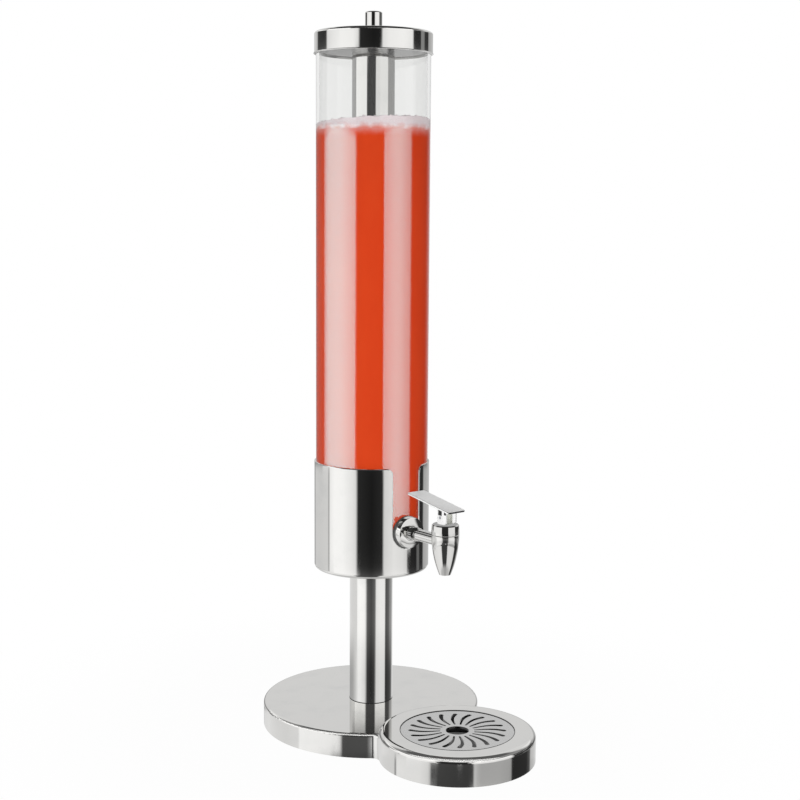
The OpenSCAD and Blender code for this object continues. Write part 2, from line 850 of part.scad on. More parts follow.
module plunger_stem() {
  color(pale_plastic) at_spout() difference() {
    union() {
      rotate_extrude() polygon([
        [0, seal_shoulder], [seal_pin_r, seal_shoulder], [seal_pin_r, seal_top],
        [seal_r, seal_top], [seal_r, stem_collar_top], [stem_r, stem_collar_top],
        [stem_r, head_z + cut], [0, head_z + cut]
      ]);
      translate([-head_w / 2, -head_depth / 2, head_z]) cube([head_w, head_depth, head_top - head_z]);
    }
    translate([-head_w, 0, pin_z]) rotate([0, 90, 0]) cylinder(r = pin_d / 2 + join_gap, h = 2 * head_w);
  }
}

module plunger_seal() {
  color(milky) at_spout() rotate_extrude() polygon([
    [0, seal_bottom], [outlet_r, seal_bottom], [seal_r, seal_shoulder], [seal_r, seal_top],
    [seal_pin_r + join_gap, seal_top], [seal_pin_r + join_gap, seal_shoulder - join_gap],
    [0, seal_shoulder - join_gap]
  ]);
}

module lever_pin() {
  color(satin) at_spout() translate([-pin_l / 2, 0, pin_z]) rotate([0, 90, 0])
    cylinder(r = pin_d / 2, h = pin_l);
}

// Point of the cam at turn a: its lowest point sinks by cam_rate for each radian turned
function cam_point(a) =
  let (reach = cam_base + cam_rate * a * PI / 180)
  [-reach * sin(a) - cam_rate * cos(a), -reach * cos(a) + cam_rate * sin(a)];

// Height of the closed lever plate's underside at place y, from the pin
function plate_under(y) = (lever_drop + y * sin(lever_slope)) / cos(lever_slope);

// Side view of an ear, from the pin, with X along the row's Y
module ear_outline() {
  tail = cam_point(lever_turn);
  polygon([
    [ear_in_y, -cam_base],
    [ear_in_y, plate_under(ear_in_y) + lever_t / 2],
    [tail[0], plate_under(tail[0]) + lever_t / 2],
    for (i = [cam_steps : -1 : 0]) cam_point(lever_turn * i / cam_steps)
  ]);
}

// Plan of the lever plate, with Y from the pin towards the container
module lever_plan() {
  x = lever_w / 2;
  c = lever_corner_r;
  translate([-x + c, -lever_out_l]) square([lever_w - 2 * c, lever_in_l + lever_out_l]);
  translate([-x, -lever_out_l + c]) square([lever_w, lever_in_l + lever_out_l - 2 * c]);
  for (sx = [-1, 1], y = [-lever_out_l + c, lever_in_l - c]) translate([sx * (x - c), y]) circle(c);
}

module tap_lever() {
  color(satin) at_spout() translate([0, 0, pin_z]) {
    rotate([lever_slope, 0, 0]) translate([0, 0, lever_drop]) linear_extrude(lever_t) lever_plan();
    for (x = [-ear_x - ear_t, ear_x]) translate([x, 0, 0]) difference() {
      rotate([90, 0, 90]) linear_extrude(ear_t) ear_outline();
      translate([-cut, 0, 0]) rotate([0, 90, 0]) cylinder(r = pin_d / 2 + run_gap, h = ear_t + 2 * cut);
    }
  }
}

module lid_cap() {
  color(polished) difference() {
    union() {
      translate([0, 0, lid_z]) round_top(lid_r, lid_top - lid_z, lid_edge_r);
      translate([0, 0, lid_z + lid_bead_r])
        rotate_extrude() translate([lid_r, 0]) circle(lid_bead_r, $fn = 32);
    }
    translate([0, 0, lid_z - cut]) round_top(lid_in_r, lid_roof - lid_z + cut, lid_edge_r - lid_t);
    cylinder(r = knob_screw_d / 2 + lift_gap, h = lid_top + cut);
  }
}

module lid_plug() {
  plug_edge_r = 2;
  color(satin) difference() {
    union() {
      translate([0, 0, lid_plug_z]) round_bottom(lid_plug_r, lid_roof - lid_plug_z, plug_edge_r);
      translate([0, 0, flange_z]) cylinder(r = lid_in_r - lid_edge_r, h = lid_flange_t);
    }
    translate([0, 0, lid_plug_z + lid_plug_t])
      round_bottom(lid_plug_r - lid_plug_t, lid_roof, plug_edge_r - lid_plug_t);
  }
}

module lid_seal() {
  color(milky) translate([0, 0, seal_z]) pipe(lid_in_r - lift_gap, lid_plug_r + join_gap, lid_seal_t);
}

module lid_knob() {
  color(polished) translate([0, 0, lid_top]) difference() {
    round_top(knob_d / 2, knob_h, knob_edge_r);
    translate([0, 0, -cut]) cylinder(r = knob_screw_d / 2 + join_gap, h = knob_screw_grip + 2 * cut);
  }
}

module knob_screw() {
  color(satin) translate([0, 0, lid_roof]) {
    translate([0, 0, -knob_screw_head_h]) cylinder(r = knob_screw_d, h = knob_screw_head_h);
    cylinder(r = knob_screw_d / 2, h = lid_t + knob_screw_grip);
  }
}

module ice_socket() {
  color(satin) translate([0, 0, lid_plug_z - ice_socket_h])
    pipe(ice_in_r - join_gap, ice_in_r - ice_socket_t, ice_socket_h);
}

module ice_tube() {
  color(polished) translate([0, 0, ice_z]) pipe(ice_r, ice_in_r, lid_plug_z - ice_z);
}

module ice_tube_cap() {
  color(polished) translate([0, 0, ice_z]) cylinder(r = ice_in_r - join_gap, h = ice_cap_t);
}

base_shell();
base_stiffener();
base_plate();
base_pillars();
plate_screws();
anti_slip_mat();
column_tube();
column_foot_plug();
column_head_plug();
column_bolt();
column_washer();
cup_holder();
cup_bolt();
cup_washer();
cup_pad();
drip_pan();
drip_grille();
container_tube();
container_floor();
juice();
tap_gasket();
tap_collar();
tap_shank();
inner_gasket();
lock_nut();
tap_body();
tap_cap();
plunger_spring();
plunger_stem();
plunger_seal();
lever_pin();
tap_lever();
lid_cap();
lid_plug();
lid_seal();
lid_knob();
knob_screw();
ice_socket();
ice_tube();
ice_tube_cap();
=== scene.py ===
"""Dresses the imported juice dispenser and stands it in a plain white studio.

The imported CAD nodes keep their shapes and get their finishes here. The clear tube, the juice and its
froth, the tap's lever, collar and spring, and a few thin edges and gaps are made anew, from the boxes
of the CAD nodes that they replace or lie on.
Lengths are metres in the part's own frame: +Z up, the tap and the drip tray towards -Y.
"""

from __future__ import annotations

import functools
import logging
import math
import random
from dataclasses import dataclass, field
from enum import Enum
from typing import Any, Mapping, Sequence, Union

import bmesh
import bpy
from mathutils import Matrix, Vector, noise


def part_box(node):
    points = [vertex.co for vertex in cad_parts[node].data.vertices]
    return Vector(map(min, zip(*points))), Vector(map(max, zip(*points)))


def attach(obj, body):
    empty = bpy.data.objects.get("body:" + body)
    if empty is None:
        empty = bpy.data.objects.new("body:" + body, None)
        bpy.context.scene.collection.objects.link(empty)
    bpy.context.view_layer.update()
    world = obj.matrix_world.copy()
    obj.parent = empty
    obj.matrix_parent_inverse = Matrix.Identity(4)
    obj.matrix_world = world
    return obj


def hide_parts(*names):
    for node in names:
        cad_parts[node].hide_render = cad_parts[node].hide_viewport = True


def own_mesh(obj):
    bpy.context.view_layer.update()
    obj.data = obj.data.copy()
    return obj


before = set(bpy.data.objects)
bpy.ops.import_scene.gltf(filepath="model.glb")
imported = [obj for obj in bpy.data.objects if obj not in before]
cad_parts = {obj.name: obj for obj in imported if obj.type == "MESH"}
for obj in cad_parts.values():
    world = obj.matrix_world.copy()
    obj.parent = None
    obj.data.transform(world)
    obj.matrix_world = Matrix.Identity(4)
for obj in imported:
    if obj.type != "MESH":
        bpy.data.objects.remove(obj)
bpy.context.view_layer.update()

LOG = logging.getLogger("juice_dispenser")
MM = 0.001
SHARP_DEG = 35.0
EDGE_STEPS = 4
OCTAVE_SHARE = 0.55
WHITE = (1.0, 1.0, 1.0)
EVEN = (1.0, 1.0, 1.0)

Colour = tuple[float, float, float]
Triple = tuple[float, float, float]
Band = tuple[float, float]
Points = Sequence[tuple[float, float]]
Stops = tuple[tuple[float, float], ...]
Value = Union["Wire", float]


class Slot(Enum):
    """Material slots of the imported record."""

    POLISHED_STEEL = "polished_steel"
    SATIN_STEEL = "satin_steel"
    TAP_CHROME = "tap_chrome"
    ZINC_STEEL = "zinc_steel"
    CLEAR_ACRYLIC = "clear_acrylic"
    JUICE = "juice"
    BLACK_RUBBER = "black_rubber"
    MILKY_SILICONE = "milky_silicone"
    PALE_PLASTIC = "pale_plastic"


class Body(Enum):
    """Bodies that the made pieces ride on."""

    STAND = "stand"
    GRILLE = "grille"
    CONTAINER = "container"
    LEVER = "lever"


class Grain(Enum):
    """Direction that brushed or wiped marks run in, as stretches of the texture along X, Y and Z."""

    ALONG_X = (0.02, 1.0, 1.0)
    ALONG_Z = (1.0, 1.0, 0.02)


class Wire:
    """An output socket whose arithmetic is written as Python expressions."""

    def __init__(self, graph: Graph, socket: bpy.types.NodeSocket | None) -> None:
        """Keeps the socket and the graph that it belongs to."""
        self.graph = graph
        self.socket = socket

    def __add__(self, other: Value) -> Wire:
        """Sum of this value and another."""
        return self.graph.math("ADD", self, other)

    __radd__ = __add__

    def __sub__(self, other: Value) -> Wire:
        """This value less another."""
        return self.graph.math("SUBTRACT", self, other)

    def __rsub__(self, other: Value) -> Wire:
        """Another value less this one."""
        return self.graph.math("SUBTRACT", other, self)

    def __mul__(self, other: Value) -> Wire:
        """Product of this value and another."""
        return self.graph.math("MULTIPLY", self, other)

    __rmul__ = __mul__

    def __truediv__(self, other: Value) -> Wire:
        """This value divided by another."""
        return self.graph.math("DIVIDE", self, other)

    def __rtruediv__(self, other: Value) -> Wire:
        """Another value divided by this one."""
        return self.graph.math("DIVIDE", other, self)

    def step(self, low: float, high: float) -> Wire:
        """Smooth step of this value, 0 at low and 1 at high."""
        ends = {"Value": self, "From Min": low, "From Max": high}
        return self.graph.node("ShaderNodeMapRange", {"interpolation_type": "SMOOTHSTEP"}, ends)


class Graph:
    """A node tree, emptied and then built from expressions."""

    def __init__(self, tree: bpy.types.NodeTree) -> None:
        """Empties the tree."""
        self.tree = tree
        tree.nodes.clear()

    def node(
        self,
        kind: str,
        settings: Mapping[str, Any] | None = None,
        inputs: Mapping[str | int, Any] | None = None,
        output: str | int = 0,
    ) -> Wire:
        """Adds any node.

        Args:
            kind: Blender's name of the node's type.
            settings: the node's own settings, set first; stops are a ramp's (place, grey) pairs.
            inputs: wires to link, or values to set, by the socket's name or number.
            output: name or number of the output to return.

        Returns:
            The chosen output.
        """
        made = self.tree.nodes.new(kind)
        for key, setting in (settings or {}).items():
            if key == "stops":
                self._set_stops(made.color_ramp, setting)
            else:
                setattr(made, key, setting)
        for key, value in (inputs or {}).items():
            socket = made.inputs[key]
            if isinstance(value, Wire):
                self.tree.links.new(value.socket, socket)
            elif socket.type == "RGBA" and len(value) == 3:
                socket.default_value = (*value, 1.0)
            else:
                socket.default_value = value
        return Wire(self, made.outputs[output] if made.outputs else None)

    @staticmethod
    def _set_stops(ramp: bpy.types.ColorRamp, stops: Points) -> None:
        """Sets a ramp's stops.

        Args:
            ramp: the ramp of a node.
            stops: (place, grey) pairs in rising order.
        """
        while len(ramp.elements) < len(stops):
            ramp.elements.new(1.0)
        for element, (place, grey) in zip(ramp.elements, stops):
            element.position = place
            element.color = (grey, grey, grey, 1.0)

    def math(self, operation: str, first: Value, second: Value = 0.0) -> Wire:
        """Adds a Math node on one or two values."""
        return self.node("ShaderNodeMath", {"operation": operation}, {0: first, 1: second})

    def vector(self, operation: str, inputs: Mapping[str | int, Any], output: str | int = 0) -> Wire:
        """Adds a Vector Math node."""
        return self.node("ShaderNodeVectorMath", {"operation": operation}, inputs, output)

    def mix(self, factor: Value, first: Wire | Colour, second: Wire | Colour) -> Wire:
        """Mixes two colours, by the share of the second one."""
        # A Mix node's colour sockets share their names with others, so they go by number.
        ends = {0: factor, 6: first, 7: second}
        return self.node("ShaderNodeMix", {"data_type": "RGBA"}, ends, output=2)

    def ramp(self, stops: Points, place: Wire) -> Wire:
        """Adds a ramp of greys along a value from 0 to 1."""
        return self.node("ShaderNodeValToRGB", {"stops": stops}, {"Fac": place})

    def axis(self, vector: Wire, name: str) -> Wire:
        """One axis of a vector."""
        return self.node("ShaderNodeSeparateXYZ", {}, {0: vector}, name)

    def place(self, stretch: Triple = EVEN) -> Wire:
        """Place on the object in its own frame, stretched along each axis."""
        point = self.node("ShaderNodeTexCoord", output="Object")
        return self.vector("MULTIPLY", {0: point, 1: stretch})

    def along(self, name: str) -> Wire:
        """Place on the object along one of its axes, in metres."""
        return self.axis(self.place(), name)

    def facing(self, name: str) -> Wire:
        """How far the surface faces along an axis of the object, from -1 to 1."""
        return self.axis(self.node("ShaderNodeTexCoord", output="Normal"), name)

    def noise(self, scale: float, detail: float = 3.0, stretch: Triple = EVEN) -> Wire:
        """Cloudy noise.

        Args:
            scale: number of clouds in a metre.
            detail: octaves of finer clouds.
            stretch: stretch of the texture along each axis.

        Returns:
            A value from 0 to 1.
        """
        return self.node(
            "ShaderNodeTexNoise",
            {},
            {
                "Vector": self.place(stretch),
                "Scale": scale,
                "Detail": detail,
                "Roughness": OCTAVE_SHARE,
            },
        )

    def cells(self, scale: float) -> Wire:
        """Distance pattern of cells, with scale cells in a metre."""
        return self.node("ShaderNodeTexVoronoi", {}, {"Vector": self.place(), "Scale": scale})

    def bump(self, height: Wire, depth: float) -> Wire:
        """Normal that follows a height from 0 to 1 over a depth in metres."""
        return self.node("ShaderNodeBump", {}, {"Height": height, "Distance": depth})

    def principled(self, inputs: Mapping[str, Any]) -> Wire:
        """Adds a Principled shader."""
        return self.node("ShaderNodeBsdfPrincipled", {}, inputs)

    def surface(self, shader: Wire, kind: str = "ShaderNodeOutputMaterial") -> None:
        """Makes a shader the output of the tree."""
        self.node(kind, {}, {"Surface": shader})


class Finish:
    """A material that is made once and shared by the pieces that wear it."""

    label: str
    slot: Slot

    def shade(self, graph: Graph) -> Wire:
        """Builds the shader of the finish in a graph and returns it."""
        raise NotImplementedError

    @functools.cache
    def material(self) -> bpy.types.Material:
        """Makes the finish's material on first use.

        Returns:
            The material.
        """
        made = bpy.data.materials.new(f"{self.label}_finish")
        made.use_nodes = True
        graph = Graph(made.node_tree)
        graph.surface(self.shade(graph))
        return made

    def dress(self, piece: bpy.types.Object) -> None:
        """Gives a piece this finish and no other."""
        piece.data.materials.clear()
        piece.data.materials.append(self.material())


@dataclass(frozen=True)
class PolishedSteel(Finish):
    """Mirror-polished steel with faint haze, wiping marks and a slightly wavy sheet."""

    label: str = "polished_steel"
    slot: Slot = Slot.POLISHED_STEEL
    tone: Colour = (0.66, 0.655, 0.64)
    hazy_tone: Colour = (0.6, 0.6, 0.59)
    roughness: float = 0.045
    haze: float = 0.03
    cloud_scale: float = 38.0
    cloud_band: Band = (0.45, 0.8)
    cloud_share: float = 0.7
    wipe_scale: float = 900.0
    wipe_band: Band = (0.5, 0.9)
    wave_scale: float = 22.0
    wave: float = 0.000015

    def shade(self, graph: Graph) -> Wire:
        """Builds the shader: polishing haze in the roughness, a slow wave in the normal.

        Args:
            graph: the material's graph.

        Returns:
            The shader.
        """
        cloud = graph.noise(self.cloud_scale, detail=4.0).step(*self.cloud_band)
        wiped = graph.noise(self.wipe_scale, detail=2.0, stretch=Grain.ALONG_Z.value)
        wiped = wiped.step(*self.wipe_band)
        haze = cloud * self.cloud_share + wiped * (1 - self.cloud_share)
        return graph.principled(
            {
                "Base Color": self.colour(graph, haze),
                "Metallic": 1.0,
                "Roughness": haze * self.haze + self.roughness,
                "Normal": graph.bump(graph.noise(self.wave_scale, detail=1.0), self.wave),
            }
        )

    def colour(self, graph: Graph, haze: Wire) -> Wire:
        """Colour of the steel, a little darker where it is hazy."""
        return graph.mix(haze, self.tone, self.hazy_tone)


@dataclass(frozen=True)
class CapChrome(PolishedSteel):
    """Chrome of the tap's cap, with painted shade darkening its flat top."""

    label: str = "cap_chrome"
    slot: Slot = Slot.TAP_CHROME
    # The flat top's dark tone is painted shade.
    top_shade_tone: Colour = (0.22, 0.22, 0.215)
    flat_band: Band = (0.8, 0.95)

    def colour(self, graph: Graph, haze: Wire) -> Wire:
        """Colour of the chrome, darker on the flat top with painted shade."""
        side = super().colour(graph, haze)
        return graph.mix(graph.facing("Z").step(*self.flat_band), side, self.top_shade_tone)


@dataclass(frozen=True)
class SatinSteel(Finish):
    """Steel brushed in one direction, with a soft, even sheen."""

    label: str = "satin_steel"
    slot: Slot = Slot.SATIN_STEEL
    tone: Colour = (0.7, 0.7, 0.695)
    dark_tone: Colour = (0.63, 0.63, 0.625)
    roughness: float = 0.16
    spread: float = 0.1
    brush_scale: float = 4200.0
    brush_band: Band = (0.3, 0.8)
    brush_share: float = 0.7
    cloud_scale: float = 60.0
    grain: Grain = Grain.ALONG_X
    groove: float = 0.00001

    def shade(self, graph: Graph) -> Wire:
        """Builds the shader: long fine grooves in tone, roughness and normal.

        Args:
            graph: the material's graph.

        Returns:
            The shader.
        """
        brush = graph.noise(self.brush_scale, detail=2.0, stretch=self.grain.value)
        cloud = graph.noise(self.cloud_scale)
        dulled = brush * self.brush_share + cloud * (1 - self.brush_share)
        return graph.principled(
            {
                "Base Color": self.colour(graph, brush),
                "Metallic": 1.0,
                "Roughness": dulled * self.spread + self.roughness,
                "Normal": graph.bump(brush, self.groove),
            }
        )

    def colour(self, graph: Graph, brush: Wire) -> Wire:
        """Colour of the steel, a little darker in the grooves of the brush."""
        return graph.mix(brush.step(*self.brush_band), self.tone, self.dark_tone)


@dataclass(frozen=True)
class GrilleSteel(SatinSteel):
    """Satin steel of the grille, dark with painted shade on the walls of its openings."""

    label: str = "grille_satin"
    # Painted shade on the upright walls of the grille's openings.
    slot_shade_tone: Colour = (0.045, 0.045, 0.045)
    flat_band: Band = (0.2, 0.6)

    def colour(self, graph: Graph, brush: Wire) -> Wire:
        """Colour of the steel, dark with painted shade where the surface stands upright."""
        face = super().colour(graph, brush)
        return graph.mix(graph.facing("Z").step(*self.flat_band), self.slot_shade_tone, face)


@dataclass(frozen=True)
class LeverSteel(SatinSteel):
    """Satin steel of the lever, with a painted dark reflection on the edge that faces away from the
    container.
    """

    label: str = "lever_satin"
    # The front edge's near-black tone is a painted dark reflection.
    dark_reflection_tone: Colour = (0.06, 0.06, 0.06)
    edge_place: Band = (-128.5 * MM, -126.5 * MM)
    edge_band: Band = (-0.9, -0.6)

    def colour(self, graph: Graph, brush: Wire) -> Wire:
        """Colour of the steel, with a painted dark reflection on its front edge.

        Args:
            graph: the material's graph.
            brush: the grooves of the brush.

        Returns:
            The colour.
        """
        # Mask of the painted dark reflection: the front strip and the faces turned away from the
        # container.
        inside = graph.along("Y").step(*self.edge_place)
        reflection_mask = graph.math("MAXIMUM", inside, graph.facing("Y").step(*self.edge_band))
        return graph.mix(reflection_mask, self.dark_reflection_tone, super().colour(graph, brush))


@dataclass(frozen=True)
class ZincSteel(Finish):
    """Zinc-plated steel with a fine spangle, for the hidden plates and fasteners."""

    label: str = "zinc_steel"
    slot: Slot = Slot.ZINC_STEEL
    tone: Colour = (0.56, 0.57, 0.58)
    dark_tone: Colour = (0.4, 0.41, 0.43)
    spangle_scale: float = 260.0
    roughness: float = 0.32
    spread: float = 0.2
    pit_scale: float = 1500.0
    pit_depth: float = 0.00002

    def shade(self, graph: Graph) -> Wire:
        """Builds the shader: dull spangle cells with a fine pitted normal.

        Args:
            graph: the material's graph.

        Returns:
            The shader.
        """
        spangle = graph.cells(self.spangle_scale)
        return graph.principled(
            {
                "Base Color": graph.mix(spangle, self.tone, self.dark_tone),
                "Metallic": 1.0,
                "Roughness": spangle * self.spread + self.roughness,
                "Normal": graph.bump(graph.noise(self.pit_scale, detail=2.0), self.pit_depth),
            }
        )


@dataclass(frozen=True)
class ClearAcrylic(Finish):
    """Clear cast tube with faint handling marks."""

    label: str = "clear_acrylic"
    slot: Slot = Slot.CLEAR_ACRYLIC
    tone: Colour = (0.89, 0.892, 0.886)
    index: float = 1.49
    streak_scale: float = 180.0
    streak_band: Band = (0.55, 0.85)
    dulling: float = 0.02

    def shade(self, graph: Graph) -> Wire:
        """Builds the shader: a clear body whose gloss dulls a little in wiped streaks.

        Args:
            graph: the material's graph.

        Returns:
            The shader.
        """
        streaks = graph.noise(self.streak_scale, stretch=Grain.ALONG_Z.value)
        return graph.principled(
            {
                "Base Color": self.tone,
                "Roughness": streaks.step(*self.streak_band) * self.dulling,
                "IOR": self.index,
                "Transmission Weight": 1.0,
            }
        )


@dataclass(frozen=True)
class JuiceFinish(Finish):
    """Cloudy orange-red juice that pales into froth towards its level."""

    label: str = "juice"
    slot: Slot = Slot.JUICE
    tone: Colour = (0.68, 0.048, 0.0105)
    pulp_tone: Colour = (0.72, 0.059, 0.0135)
    foamy_tone: Colour = (0.74, 0.6, 0.6)
    pale_z: Band = (600.5 * MM, 622 * MM)
    ripple_scale: float = 150.0
    ripple: float = 4 * MM
    drift_scale: float = 26.0
    drift_stretch: Triple = (1.0, 1.0, 0.35)
    drift_band: Band = (0.35, 0.75)
    drift_share: float = 0.6
    speck_scale: float = 210.0
    speck_band: Band = (0.05, 0.16)
    speck_share: float = 0.25
    roughness: float = 0.5
    spread: float = 0.1

    def shade(self, graph: Graph) -> Wire:
        """Builds the shader: drifting pulp clouds, a few paler specks and a foamy top.

        Args:
            graph: the material's graph.

        Returns:
            The shader.
        """
        drift = graph.noise(self.drift_scale, detail=4.0, stretch=self.drift_stretch)
        drift = drift.step(*self.drift_band)
        specks = 1.0 - graph.cells(self.speck_scale).step(*self.speck_band)
        pulp = drift * self.drift_share + specks * self.speck_share
        liquid = graph.mix(pulp, self.tone, self.pulp_tone)
        uneven = graph.noise(self.ripple_scale) * self.ripple - self.ripple / 2
        foam = (graph.along("Z") + uneven).step(*self.pale_z)
        return graph.principled(
            {
                "Base Color": graph.mix(foam, liquid, self.foamy_tone),
                "Roughness": drift * self.spread + self.roughness,
                "Specular IOR Level": 0.0,
            }
        )


@dataclass(frozen=True)
class FrothFinish(Finish):
    """Pale froth of fine bubbles, pinker where it is thin and red where it is wet."""

    label: str = "froth"
    slot: Slot = Slot.JUICE
    tone: Colour = (0.9, 0.84, 0.865)
    thin_tone: Colour = (0.83, 0.65, 0.67)
    wet_tone: Colour = (0.7, 0.13, 0.08)
    dry_z: Band = (605.5 * MM, 615 * MM)
    ripple: float = 3 * MM
    large_scale: float = 420.0
    fine_scale: float = 1100.0
    large_share: float = 0.55
    cloud_scale: float = 120.0
    cloud_band: Band = (0.35, 0.75)
    joint_thinness: float = 0.4
    cloud_thinness: float = 0.2
    roughness: float = 0.35
    spread: float = 0.2
    gloss: float = 0.2
    bubble_depth: float = 0.6 * MM

    def shade(self, graph: Graph) -> Wire:
        """Builds the shader: bubble cells of two sizes, pinker in their joints and low down.

        Args:
            graph: the material's graph.

        Returns:
            The shader.
        """
        large = graph.cells(self.large_scale)
        fine = graph.cells(self.fine_scale)
        joint = large * self.large_share + fine * (1 - self.large_share)
        cloud = graph.noise(self.cloud_scale).step(*self.cloud_band)
        thinness = joint * self.joint_thinness + cloud * self.cloud_thinness
        uneven = cloud * self.ripple - self.ripple / 2
        lift = (graph.along("Z") + uneven).step(*self.dry_z)
        dry = graph.mix(thinness, self.tone, self.thin_tone)
        return graph.principled(
            {
                "Base Color": graph.mix(lift, self.wet_tone, dry),
                "Roughness": joint * self.spread + self.roughness,
                "Specular IOR Level": self.gloss,
                "Normal": graph.bump(1.0 - joint, self.bubble_depth),
            }
        )


@dataclass(frozen=True)
class Moulding(Finish):
    """Moulded plastic, silicone or rubber: faint clouds of flow or dust over a fine grain."""

    label: str = "pale_plastic"
    slot: Slot = Slot.PALE_PLASTIC
    tone: Colour = (0.84, 0.85, 0.77)
    cloud_tone: Colour = (0.77, 0.79, 0.7)
    cloud_scale: float = 160.0
    cloud_detail: float = 3.0
    cloud_stretch: Triple = (1.0, 1.0, 0.4)
    cloud_band: Band = (0.3, 0.8)
    roughness: float = 0.3
    spread: float = 0.12
    grain_scale: float = 3000.0
    grain_detail: float = 1.0
    grain_depth: float = 0.00002

    def shade(self, graph: Graph) -> Wire:
        """Builds the shader: slow clouds in tone and gloss over a fine grain.

        Args:
            graph: the material's graph.

        Returns:
            The shader.
        """
        cloud = graph.noise(self.cloud_scale, self.cloud_detail, self.cloud_stretch)
        cloud = cloud.step(*self.cloud_band)
        grain = graph.noise(self.grain_scale, self.grain_detail)
        return graph.principled(
            {
                "Base Color": graph.mix(cloud, self.tone, self.cloud_tone),
                "Roughness": cloud * self.spread + self.roughness,
                "Normal": graph.bump(grain, self.grain_depth),
            }
        )


@dataclass(frozen=True)
class Rubber(Moulding):
    """Matt rubber with a little dust on a coarser grain."""

    label: str = "black_rubber"
    slot: Slot = Slot.BLACK_RUBBER
    tone: Colour = (0.018, 0.018, 0.018)
    cloud_tone: Colour = (0.04, 0.04, 0.039)
    cloud_scale: float = 140.0
    cloud_detail: float = 4.0
    cloud_stretch: Triple = EVEN
    cloud_band: Band = (0.4, 0.8)
    roughness: float = 0.5
    spread: float = 0.15
    grain_scale: float = 2600.0
    grain_detail: float = 2.0
    grain_depth: float = 0.00005


POLISHED = PolishedSteel()
CHROME = PolishedSteel(
    label="tap_chrome", slot=Slot.TAP_CHROME, tone=(0.63, 0.625, 0.61), roughness=0.04
)
CAP_CHROME = CapChrome(tone=CHROME.tone, roughness=CHROME.roughness)
GRILLE_SATIN = GrilleSteel(tone=(0.56, 0.56, 0.556), dark_tone=(0.504, 0.504, 0.5))
LEVER_SATIN = LeverSteel(tone=(0.97, 0.97, 0.965), dark_tone=(0.91, 0.91, 0.905), roughness=0.4)
PLUG_SATIN = SatinSteel(
    label="plug_satin", tone=(0.4, 0.4, 0.395), dark_tone=(0.33, 0.33, 0.325), roughness=0.3
)
# Near-black satin whose dark tone is painted shade: the inside of the drip pan and the patches under
# the lever's plate.
PAINTED_SHADE_SATIN = SatinSteel(
    label="painted_shade_satin", tone=(0.04, 0.04, 0.04), dark_tone=(0.03, 0.03, 0.03), roughness=0.35
)
ZINC = ZincSteel()
CLEAR = ClearAcrylic()
JUICE = JuiceFinish()
FROTH = FrothFinish()
BLACK_RUBBER = Rubber()
GREY_RUBBER = Rubber(label="grey_rubber", tone=(0.14, 0.14, 0.137), cloud_tone=(0.2, 0.2, 0.195))
SILICONE = Moulding(
    label="milky_silicone",
    slot=Slot.MILKY_SILICONE,
    tone=(0.82, 0.83, 0.8),
    cloud_tone=(0.74, 0.76, 0.73),
    roughness=0.42,
)
PLASTIC = Moulding()


def arc(sweep_deg: float, steps: int) -> list[float]:
    """Angles in radians from 0 to a sweep in degrees, in equal steps."""
    return [math.radians(sweep_deg) * i / steps for i in range(steps + 1)]


